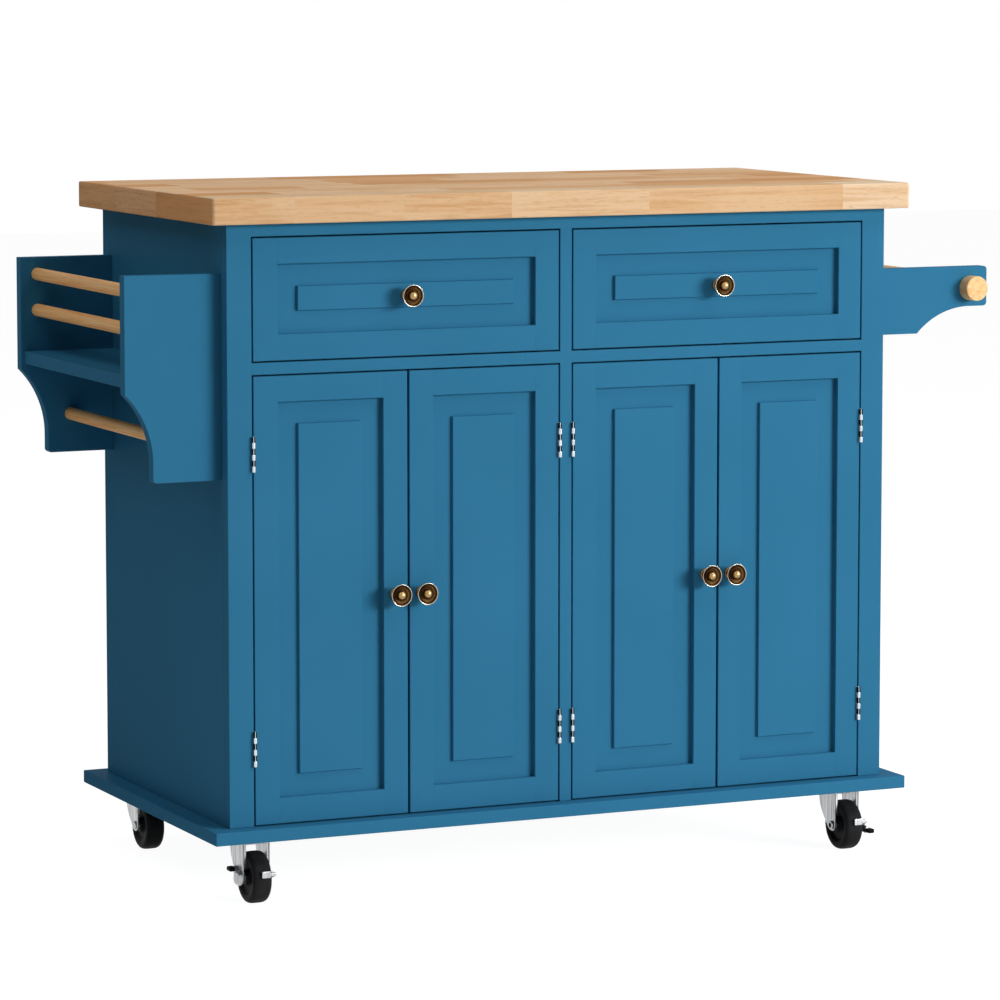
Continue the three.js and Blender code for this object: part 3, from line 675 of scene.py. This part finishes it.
# scores the joint between a stile and a rail into the front as a fine V groove
def scoreJoint(shape, x, keep, frontY):
    def onFront(spot):
        return abs(spot.y - frontY) < 0.05 * mm and keep(spot)

    half = faceFrame["jointWidth"] / 2
    for offset in (-half, 0, half):
        faces = [f for f in shape.faces
            if f.normal.y < -0.99 and onFront(f.calc_center_median())]
        edges = {e for f in faces for e in f.edges}
        verts = {v for f in faces for v in f.verts}
        bmesh.ops.bisect_plane(shape, geom=[*faces, *edges, *verts], dist=0.001 * mm,
            plane_co=(x + offset, 0, 0), plane_no=(1, 0, 0))
    sunk = [v for v in shape.verts if abs(v.co.x - x) < 0.01 * mm and onFront(v.co)]
    bmesh.ops.translate(shape, vec=(0, faceFrame["jointDepth"], 0), verts=sunk)


# a sheet cut along the lines of stiles and rails, its openings taken out, pushed to a thickness
def makeFaceFrame():
    low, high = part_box("face_frame")
    innerLeft, innerRight = low.x + faceFrame["outerStile"], high.x - faceFrame["outerStile"]
    half = faceFrame["centreStile"] / 2
    drawerTop = high.z - faceFrame["topRail"]
    drawerBottom = drawerTop - faceFrame["drawerOpening"]
    doorTop = drawerBottom - faceFrame["middleRail"]
    shape = newShape()
    bmesh.ops.create_grid(shape, x_segments=1, y_segments=1, size=0.5,
        matrix=Matrix.Rotation(math.pi / 2, 4, "X"))
    bmesh.ops.scale(shape, vec=(high.x - low.x, 1, high.z - low.z), verts=shape.verts)
    bmesh.ops.translate(shape, vec=((low.x + high.x) / 2, low.y, (low.z + high.z) / 2),
        verts=shape.verts)
    cuts = [((x, 0, 0), (1, 0, 0)) for x in (innerLeft, islandX - half, islandX + half, innerRight)]
    cuts += [((0, 0, z), (0, 0, 1)) for z in (doorTop, drawerBottom, drawerTop)]
    for place, way in cuts:
        bmesh.ops.bisect_plane(shape, geom=[*shape.verts, *shape.edges, *shape.faces],
            dist=0.001 * mm, plane_co=place, plane_no=way)
    holes = []
    for face in shape.faces:
        spot = face.calc_center_median()
        besideStiles = innerLeft < spot.x < innerRight and abs(spot.x - islandX) > half
        betweenRails = spot.z < doorTop or drawerBottom < spot.z < drawerTop
        if besideStiles and betweenRails:
            holes.append(face)
    bmesh.ops.delete(shape, geom=holes, context="FACES")
    for face in shape.faces:
        if face.normal.y > 0:
            face.normal_flip()
    pushOut(shape, shape.faces[:], (0, high.y - low.y, 0))
    bmesh.ops.recalc_face_normals(shape, faces=shape.faces)
    roundOff(shape, corners(shape), faceFrame["ease"])
    for x in (innerLeft, innerRight):
        scoreJoint(shape, x, lambda spot: drawerTop < spot.z or doorTop < spot.z < drawerBottom,
            low.y)
    finishPiece(shape, "faceFrame", bluePaint, "cabinet", "face_frame")


makeFaceFrame()
print("carcass made")

front = {
    "stile": 34 * mm,
    "recess": 8 * mm,
    "margin": 28.5 * mm,
    "rise": 4.5 * mm,
    "bevel": 1 * mm,
    "ease": 0.7 * mm,
    "jointGap": 0.2 * mm,  # the joint scores stop this far from the recess
}


# door or drawer front: a routed recess with a raised field, and scores where stile meets rail
def makeFront(node, name, body):
    low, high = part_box(node)
    shape = newShape()
    addBlock(shape, low, high)
    face = next(f for f in shape.faces if f.normal.y < -0.9)
    bmesh.ops.inset_region(shape, faces=[face], thickness=front["stile"], use_even_offset=True)
    pushed = pushOut(shape, [face], (0, front["recess"], 0), keep=False)
    bmesh.ops.delete(shape, geom=[face], context="FACES_ONLY")
    face = next(g for g in pushed if isinstance(g, bmesh.types.BMFace))
    bmesh.ops.inset_region(shape, faces=[face], thickness=front["margin"], use_even_offset=True)
    bmesh.ops.inset_region(shape, faces=[face], thickness=front["bevel"], depth=front["rise"],
        use_even_offset=True)
    bmesh.ops.recalc_face_normals(shape, faces=shape.faces)
    roundOff(shape, corners(shape, 50), front["ease"])
    under = low.z + front["stile"] - front["jointGap"]
    over = high.z - front["stile"] + front["jointGap"]
    for x in (low.x + front["stile"], high.x - front["stile"]):
        scoreJoint(shape, x, lambda spot: spot.z < under or spot.z > over, low.y)
    finishPiece(shape, name, bluePaint, body, node)


doorNames = ["left_outer", "left_inner", "right_inner", "right_outer"]
for door in doorNames:
    makeFront("door_" + door, "doorPanel_" + door, "door_" + door)
for side in ("left", "right"):
    makeFront("drawer_front_" + side, "drawerFace_" + side, "drawer_" + side)

drawerBox = {
    "wall": 12 * mm,
    "bottom": 8 * mm,
    "gap": 0.1 * mm,
    "wallEase": 1 * mm,
    "bottomEase": 0.4 * mm,
}


def makeDrawerBox(side):
    low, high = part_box("drawer_box_" + side)
    wall, ease = drawerBox["wall"], drawerBox["wallEase"]
    inset = wall + drawerBox["gap"]
    shape = newShape()
    for x0, x1 in ((low.x, low.x + wall), (high.x - wall, high.x)):
        addBoard(shape, (x0, low.y, low.z), (x1, high.y, high.z), ease, grainAxis=1)
    for y0, y1 in ((low.y, low.y + wall), (high.y - wall, high.y)):
        addBoard(shape, (low.x + inset, y0, low.z), (high.x - inset, y1, high.z), ease)
    addBoard(shape, (low.x + inset, low.y + inset, low.z),
        (high.x - inset, high.y - inset, low.z + drawerBox["bottom"]), drawerBox["bottomEase"])
    finishPiece(shape, "drawerBox_" + side, barePine, "drawer_" + side, "drawer_box_" + side)


makeDrawerBox("left")
makeDrawerBox("right")

# dished knob with a beaded rim, dark bowl and bright ball: radius and height in mm, how rubbed
knob = {
    "height": 24.4 * mm,
    "profile": [
        (0, -2, 0), (8.1, -2, 0), (8.1, 0.9, 0.2), (7.6, 1.5, 0.35), (6.1, 2.3, 0.1), (5.1, 4, 0),
        (4.8, 7, 0.05), (5.0, 10, 0.05), (6.4, 12.6, 0.05), (9.0, 14.6, 0), (12.0, 16.6, 0),
        (13.6, 18.4, 0), (14.1, 19.4, 0.1), (14.4, 20.2, 0.5), (14.3, 20.8, 1), (13.8, 20.9, 1),
        (13.4, 20.6, 0.5), (13.1, 19.9, 0), (12.6, 19.4, 0), (11.9, 19.2, 0.05),
        (11.0, 18.6, 0.2), (9.9, 17.7, 0.25), (8.6, 17.0, 0.1), (7.4, 16.8, 0), (6.4, 17.2, 0),
        (5.9, 18.4, 0.1), (5.8, 20.0, 0.3), (5.4, 21.6, 0.38), (4.6, 22.9, 0.44), (3.3, 23.8, 0.5),
        (1.7, 24.3, 0.52), (0, 24.4, 0.52),
    ],
}


def makeKnob(body):
    low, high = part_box("knob_" + body)
    base = Vector(((low.x + high.x) / 2, low.y + knob["height"], (low.z + high.z) / 2))
    shape = newShape()
    rubbed = shape.verts.layers.float["rubbed"]
    made = addTurned(shape, [(r * mm, h * mm) for r, h, wear in knob["profile"]], base, (0, -1, 0))
    for v in made:
        height = (base.y - v.co.y) / mm
        radius = math.hypot(v.co.x - base.x, v.co.z - base.z) / mm
        v[rubbed] = min(knob["profile"], key=lambda p: abs(p[0] - radius) + abs(p[1] - height))[2]
    finishPiece(shape, "knob_" + body + "Bronze", agedBronze, body, "knob_" + body)


for door in doorNames:
    makeKnob("door_" + door)
for side in ("left", "right"):
    makeKnob("drawer_" + side)
print("fronts and knobs made")

hinge = {
    "knuckle": 2.5 * mm,
    "knuckleEase": 0.5 * mm,
    "pin": 0.8 * mm,
    "count": 6,
    "gap": 0.3 * mm,
    "leaf": 1.5 * mm,
    "leafDepth": 14 * mm,
    "leafEase": 0.3 * mm,
    "bend": (0.2 * mm, 0.5 * mm),  # between knuckle and leaf: past the pin, over the leaf
    "bendEase": 0.2 * mm,
    "barrelOuter": 1.8 * mm,  # the door's knuckles are open barrels, so the pin shows in them
    "barrelInner": 0.85 * mm,
    "barrelFront": 1.4 * mm,
    "barrelBack": 1 * mm,
    "screw": 2.6 * mm,
    "screwPlaces": (-0.34, 0, 0.34),  # along the leaf, in its lengths from the middle
    "screwDepth": 0.55,  # share of the leaf's depth
    "screwProud": 0.05 * mm,
    "screwSink": 0.2 * mm,
}


# direction says on which side of the pin the leaf lies; owner 0 is the frame leaf, 1 the door leaf
def makeLeaf(node, name, body, axis, length, direction, owner):
    shape = newShape()
    x, y, z = axis
    low = z - length / 2
    pitch, gap = length / hinge["count"], hinge["gap"]
    back, (pastPin, overLeaf) = hinge["barrelBack"], hinge["bend"]
    near = x + direction * gap / 2
    far = near + direction * hinge["leaf"]
    start = y + hinge["knuckle"] + gap
    addBoard(shape, (near, start, low), (far, start + hinge["leafDepth"], low + length),
        hinge["leafEase"])
    bright = len(shape.faces)
    for i in range(owner, hinge["count"], 2):
        z0, z1 = low + i * pitch + gap / 2, low + (i + 1) * pitch - gap / 2
        if owner:
            for half in (-1, 1):
                addBoard(shape, (x + half * hinge["barrelInner"], y - hinge["barrelFront"], z0),
                    (x + half * hinge["barrelOuter"], start, z1), hinge["leafEase"])
            addBoard(shape, (x - back, y + back, z0), (x + back, start, z1), hinge["bendEase"])
        else:
            addRod(shape, 2, hinge["knuckle"], z0, z1, (x, y, 0), 24, hinge["knuckleEase"], 3)
            addBoard(shape, (near, y + pastPin, z0), (far, start + overLeaf, z1),
                hinge["bendEase"])
    # the door leaf's open barrels take the near-black steel: painted shade between the bright
    # knuckles
    if owner:
        useSecond(shape, bright)
    else:
        addRod(shape, 2, hinge["pin"], low + 0.5 * mm, low + length, (x, y, 0), 16, 0.2 * mm)
    for place in hinge["screwPlaces"]:
        middle = (near, start + hinge["leafDepth"] * hinge["screwDepth"], z + place * length)
        face = near - direction * hinge["screwProud"]
        addRod(shape, 0, hinge["screw"], min(near, face) - hinge["screwSink"], max(near, face),
            middle, 20, 0)
    finishPiece(shape, name, hingeSteel, body, node)


for door in doorNames:
    for level in ("upper", "lower"):
        place = f"{door}_{level}"
        low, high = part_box("hinge_leaf_frame_" + place)
        axis = ((low.x + high.x) / 2, low.y + hinge["knuckle"], (low.z + high.z) / 2)
        side = 1 if door in ("left_outer", "right_inner") else -1
        makeLeaf("hinge_leaf_frame_" + place, "hingeFrame_" + place, "cabinet", axis,
            high.z - low.z, -side, 0)
        makeLeaf("hinge_leaf_door_" + place, "hingeDoor_" + place, "door_" + door, axis,
            high.z - low.z, side, 1)
print("hinges made")

rackEase = {"spiceFrame": 0.8 * mm, "bracket": 1.2 * mm, "rail": 0.8 * mm, "bar": 1.6 * mm}


def makeRail(node, name, finish, ease):
    low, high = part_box(node)
    shape = newShape()
    centre = ((low.x + high.x) / 2, 0, (low.z + high.z) / 2)
    addRod(shape, 1, (high.x - low.x) / 2, low.y, high.y, centre, 48, ease, 3)
    finishPiece(shape, name, finish, "cabinet", node)


easedCopy("spice_rack_frame", "spiceRackFrame", rackEase["spiceFrame"])
easedCopy("towel_bracket_front", "towelBracketFront", rackEase["bracket"])
easedCopy("towel_bracket_back", "towelBracketBack", rackEase["bracket"])
for rail in ("top", "middle", "bottom"):
    makeRail("spice_rack_rail_" + rail, "spiceRail_" + rail, litRailDowel, rackEase["rail"])
makeRail("towel_bar", "towelBar", paleDowel, rackEase["bar"])
print("racks made")

caster = {
    "plate": 2.7 * mm,
    "plateRound": 5 * mm,
    "bolt": 5 * mm,
    "boltHead": 1.6 * mm,
    "boltPlaces": (24 * mm, 20 * mm),
    "kingpin": 5 * mm,
    "kingpinHead": 8 * mm,
    "crown": 78 * mm,
    "crownEdge": 1 * mm,
    "sheet": 2.5 * mm,
    "halfWidth": 19 * mm,
    "tip": 8 * mm,
    "rear": 40 * mm,
    "lip": 5 * mm,
    "lipBottom": 50 * mm,
    "axle": 4 * mm,
    "nut": 6 * mm,
    "head": 2.5 * mm,
    "hubHalf": 13.3 * mm,
    "play": 0.3 * mm,
    # in mm, radius and height: upper race, its foot over the crown, and the lower race on the fork
    "race": [(20, -0.8), (18, 0.6), (0, 0.6)],
    "raceFoot": [(0, 0.3), (17, 0.3), (19.6, 1.4)],
    "lowerRace": [(0, 0), (14.5, 0), (12.8, 0.15), (12, 0.28), (0, 0.28)],
    "shoulder": (6 * mm, 20 * mm),  # in from the leg's rear edge, over the axle
    "legRounding": (2 * mm, 7.9 * mm, 7 * mm, 12 * mm, 2 * mm),
    "legEase": 0.5 * mm,
    "lipEase": 0.9 * mm,
    "crownEase": 0.8 * mm,
}


def middleOf(node):
    low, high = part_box(node)
    return (low + high) / 2


# mounting plate with four bolt heads, the swivel race under it and the kingpin
def makePlate(name):
    node = "caster_plate_" + name
    low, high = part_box(node)
    middle = middleOf(node)
    under = high.z - caster["plate"]
    crownTop = caster["crown"] + caster["sheet"]
    shape = newShape()
    addBlock(shape, Vector((low.x, low.y, under)), high)
    roundOff(shape, uprightEdges(shape), caster["plateRound"], 5)
    boltX, boltY = caster["boltPlaces"]
    for sx in (-1, 1):
        for sy in (-1, 1):
            addRod(shape, 2, caster["bolt"], under - caster["boltHead"], under + 0.5 * mm,
                (middle.x + sx * boltX, middle.y + sy * boltY, 0), 6, 0.4 * mm)
    profile = [(r * mm, crownTop - under + h * mm) for r, h in caster["raceFoot"]]
    profile += [(r * mm, h * mm) for r, h in caster["race"]]
    addTurned(shape, profile, (middle.x, middle.y, under), (0, 0, 1), 40)
    addRod(shape, 2, caster["kingpin"], caster["crown"] - mm, crownTop + mm,
        (middle.x, middle.y, 0), 24, 0)
    addRod(shape, 2, caster["kingpinHead"], caster["crown"] - 3.3 * mm,
        caster["crown"] - caster["play"], (middle.x, middle.y, 0), 24, 0.8 * mm)
    finishPiece(shape, "casterPlate_" + name, casterSteel, "cabinet", node)


# pressed fork: two legs with turned-in front edges, the crown and the lower race on it
def makeFork(name):
    middle, axle = middleOf("caster_plate_" + name), middleOf("caster_wheel_" + name)
    x, y, z = middle.x, axle.y, axle.z
    half, sheet, crown = caster["halfWidth"], caster["sheet"], caster["crown"]
    tip, rear, top = caster["tip"], caster["rear"], crown + sheet
    shape = newShape()
    shoulder, rise = caster["shoulder"]
    outline = [(y - tip, top), (y - tip, z - tip), (y + tip * 0.9, z - tip),
        (y + rear - shoulder, z + rise), (y + rear, top)]
    for side in (-1, 1):
        outer = x + side * half
        addPlate(shape, outline, x + side * (half - sheet), outer, caster["legRounding"],
            caster["legEase"])
        addBoard(shape, (x + side * (half - caster["lip"]), y - tip, caster["lipBottom"]),
            (outer, y - tip + sheet, top), caster["lipEase"], 3)
    edge = caster["crownEdge"]
    addBoard(shape, (x - half + edge, y - tip + edge, crown),
        (x + half - edge, y + rear - edge, top), caster["crownEase"])
    addTurned(shape, [(r * mm, h * mm) for r, h in caster["lowerRace"]],
        (x, middle.y, top - 0.02 * mm), (0, 0, 1), 40)
    # on the front casters the brake carries the axle
    if not name.startswith("front"):
        play = caster["play"]
        addRod(shape, 0, caster["axle"], x - half, x + half, (0, y, z), 24, 0)
        for side in (-1, 1):
            addRod(shape, 0, caster["nut"], x + side * (caster["hubHalf"] + play),
                x + side * (half - sheet + play), (0, y, z), 24, 0)
            addRod(shape, 0, caster["nut"], x + side * (half - 0.2 * mm),
                x + side * (half + caster["head"]), (0, y, z), 24, 1.2 * mm, 3)
    finishPiece(shape, "casterFork_" + name, casterSteel, "swivel_" + name, "caster_fork_" + name)


# half profiles of tread and hub, in mm: radius, and distance from the wheel's middle
wheel = {
    "tread": [(23, 11.8), (25, 12.6), (28, 13), (30.4, 12.5), (32.2, 11.2), (33.3, 9.2),
        (33.85, 6.6), (34, 3.5)],
    "treadFloor": [(22, 10), (22, -10)],
    "hub": [(4.3, 13.3), (9.2, 13.3), (9.8, 12.7), (10.2, 10.4), (12.5, 8.8), (19.5, 8.8),
        (21.4, 10.6), (22.4, 11.6), (23.4, 11.4)],
    "steps": 64,
}


def makeWheel(name):
    axle = middleOf("caster_wheel_" + name)
    shape = newShape()

    def turnRing(half, floor):
        ring = [(r, -h) for r, h in half] + half[::-1] + floor + [(half[0][0], -half[0][1])]
        addTurned(shape, [(r * mm, h * mm) for r, h in ring], axle, (1, 0, 0), wheel["steps"])

    turnRing(wheel["tread"], wheel["treadFloor"])
    treadFaces = len(shape.faces)
    turnRing(wheel["hub"], [])
    useSecond(shape, treadFaces)
    finishPiece(shape, "casterWheel_" + name, wheelRubber, "wheel_" + name, "caster_wheel_" + name)


# foot brakes: side -1 has its pedal on the left, +1 on the right; turn is the pedal arm's angle
brake = {
    "front_left": {"side": -1, "turn": 0.42, "length": 22 * mm},
    "front_right": {"side": 1, "turn": math.pi + 0.2, "length": 30 * mm},
    "arm": 4.5 * mm,
    "armRoot": 1.6,
    "armCorner": 2 * mm,
    "armHub": 8 * mm,
    "hub": 10 * mm,
    "hubDepth": 8.5 * mm,
    # the domed cap: radius in mm, share of the hub's depth
    "cap": [(0, 0), (10, 0), (10, 0.36), (9.4, 0.55), (8.0, 0.76), (5.8, 0.91), (3, 0.98), (0, 1)],
    "reach": 37.25 * mm,
    "rise": 0.24,
    "tongueStart": -3 * mm,
    "tongueEnd": 9 * mm,
    "tongueTaper": 0.55,
    "strap": 5 * mm,
    "pedalWidth": 7 * mm,
    "pedalDepth": 13 * mm,
    "pedalThickness": 6 * mm,
}


def makeBrake(name):
    x, y, z = middleOf("caster_wheel_" + name)
    own = brake[name]
    side, turn, length = own["side"], own["turn"], own["length"]
    play, sheet = caster["play"], caster["sheet"]
    inner = caster["halfWidth"] + play
    outer = inner + sheet
    armInner = caster["hubHalf"] + play
    armOuter = caster["halfWidth"] - sheet - play
    shape = newShape()

    # the (y, z) point at an angle and distance from the axle
    def spot(angle, distance):
        return Vector((y + distance * math.cos(angle), z + distance * math.sin(angle)))

    def arm(x0, x1, angle, armLength, taper=1.0):
        across = Vector((-math.sin(angle), math.cos(angle))) * brake["arm"]
        root, end, corner = Vector((y, z)), spot(angle, armLength), brake["armCorner"]
        outline = [root + across * brake["armRoot"], root - across * brake["armRoot"],
            end - across * taper, end + across * taper]
        addPlate(shape, outline, x0, x1, [0, 0, corner, corner], 0.5 * mm)

    addRod(shape, 0, caster["axle"], x - outer, x + outer, (0, y, z), 24, 0.4 * mm)
    addRod(shape, 0, caster["nut"], x - armOuter, x - armInner, (0, y, z), 24, 0)
    addRod(shape, 0, caster["nut"], x - side * inner, x - side * outer, (0, y, z), 24, 0.9 * mm, 3)
    addTurned(shape, [(r * mm, share * brake["hubDepth"]) for r, share in brake["cap"]],
        (x + side * inner, y, z), (side, 0, 0), 40)
    # the tongue lies in front of the tread; its arm runs between the wheel and the right leg
    tongueAngle = math.pi - brake["rise"]
    arm(x + armInner, x + armOuter, tongueAngle, brake["reach"] - 1.5 * mm, brake["tongueTaper"])
    addRod(shape, 0, brake["armHub"], x + armInner, x + armOuter, (0, y, z), 24, 0)
    tongue, halfSheet = spot(tongueAngle, brake["reach"]), sheet / 2
    for x0, x1, halfHeight, ease in (
            (brake["tongueStart"], brake["tongueEnd"], brake["arm"], 1.1 * mm),
            # a narrower strap joins the tongue to its arm
            (brake["tongueEnd"] - mm, armOuter, brake["strap"] / 2, 0.9 * mm)):
        addBoard(shape, (x + x0, tongue.x - halfSheet, tongue.y - halfHeight),
            (x + x1, tongue.x + halfSheet, tongue.y + halfHeight), ease, 3)
    arm(x + side * inner, x + side * outer, turn, length - 2 * mm)
    metalFaces = len(shape.faces)
    pedal = spot(turn, length)
    halfDepth, halfThick = brake["pedalDepth"] / 2, brake["pedalThickness"] / 2
    addBoard(shape, (x + side * inner, pedal.x - halfDepth, pedal.y - halfThick),
        (x + side * (outer + brake["pedalWidth"]), pedal.x + halfDepth, pedal.y + halfThick),
        2 * mm, 4)
    useSecond(shape, metalFaces)
    finishPiece(shape, "footBrake_" + name, brakeSteel, "brake_" + name, "brake_lever_" + name)


for name in ("front_left", "front_right", "back_left", "back_right"):
    makePlate(name)
    makeFork(name)
    makeWheel(name)
for name in ("front_left", "front_right"):
    makeBrake(name)
print("casters made")

studio = {
    # turn from the front to the right, rise above the floor, distance, width, height, watts
    "lamps": {
        "keySoftBox": (35, 12, 8, 4.4, 1.8, 500),
        "fillSoftBox": (58, 56, 4, 3.6, 3.6, 68),
        "sideSoftBox": (-80, 50, 4, 2.2, 2.2, 25),
    },
    "target": (0, 0, 0.45),
    "roomLight": 0.095,
    "floorSize": 14,
    "floorShade": "#e6e6e6",
    "floorShare": 0.3,
    "floorGlow": 1.36,
}


# 1 for what the camera sees, straight or in a reflection, and 0 for what lights the object
def seenDirectly(tree):
    path = addNode(tree, "LightPath")
    seen = path.outputs["Is Camera Ray"]
    for ray in ("Is Glossy Ray", "Is Transmission Ray"):
        seen = addNode(tree, "Math", {0: seen, 1: path.outputs[ray]}, operation="MAXIMUM")
    return seen


def makeLamps():
    for name, (turn, rise, distance, width, height, power) in studio["lamps"].items():
        light = bpy.data.lights.new(name, "AREA")
        light.shape = "ELLIPSE"
        light.size, light.size_y = width, height
        light.energy = power
        turn, rise = math.radians(turn), math.radians(rise)
        way = Vector((math.sin(turn) * math.cos(rise), -math.cos(turn) * math.cos(rise),
            math.sin(rise)))
        lamp = addObject(name, light)
        lamp.location = Vector(studio["target"]) + way * distance
        lamp.rotation_euler = way.to_track_quat("Z", "Y").to_euler()


# floor that is white to the eye but keeps a share of its shading, and so the shadow
def makeFloor():
    mesh = bpy.data.meshes.new("studioFloor")
    shape = bmesh.new()
    bmesh.ops.create_grid(shape, x_segments=1, y_segments=1, size=studio["floorSize"])
    shape.to_mesh(mesh)
    shape.free()
    addObject("studioFloor", mesh)
    material = bpy.data.materials.new("paleFloor")
    tree = emptyTree(material)
    share = addNode(tree, "Math", {0: seenDirectly(tree), 1: 1 - studio["floorShare"]},
        operation="MULTIPLY")
    paint = addNode(tree, "BsdfDiffuse", {0: studio["floorShade"]})
    glow = addNode(tree, "Emission", {0: "#ffffff", 1: studio["floorGlow"]})
    surface = addNode(tree, "MixShader", {0: share, 1: paint, 2: glow})
    addNode(tree, "OutputMaterial", {0: surface})
    mesh.materials.append(material)


def makeRoom():
    world = bpy.data.worlds.new("studioRoom")
    scene.world = world
    tree = emptyTree(world)
    strength = addNode(tree, "MapRange", {0: seenDirectly(tree), 3: studio["roomLight"], 4: 1.0})
    room = addNode(tree, "Background", {0: "#ffffff", 1: strength})
    addNode(tree, "OutputWorld", {0: room})
    scene.view_settings.view_transform = "Standard"


# the photo was taken from the left, a little above the worktop, with a long lens
viewpoint = {
    "place": (-2.5756, -5.6027, 1.2117),
    "turn": 24.596,
    "tilt": 5.983,
    "lens": 162.57,
    "sensor": 36,
    "shift": -0.06,
}


def makeCamera():
    lens = bpy.data.cameras.new("photoCamera")
    lens.lens = viewpoint["lens"]
    lens.sensor_width = viewpoint["sensor"]
    lens.shift_y = viewpoint["shift"]
    eye = addObject("photoCamera", lens)
    eye.location = viewpoint["place"]
    eye.rotation_euler = (math.radians(90 - viewpoint["tilt"]), 0, -math.radians(viewpoint["turn"]))
    scene.camera = eye


makeLamps()
makeFloor()
makeRoom()
makeCamera()
print("studio and camera made")
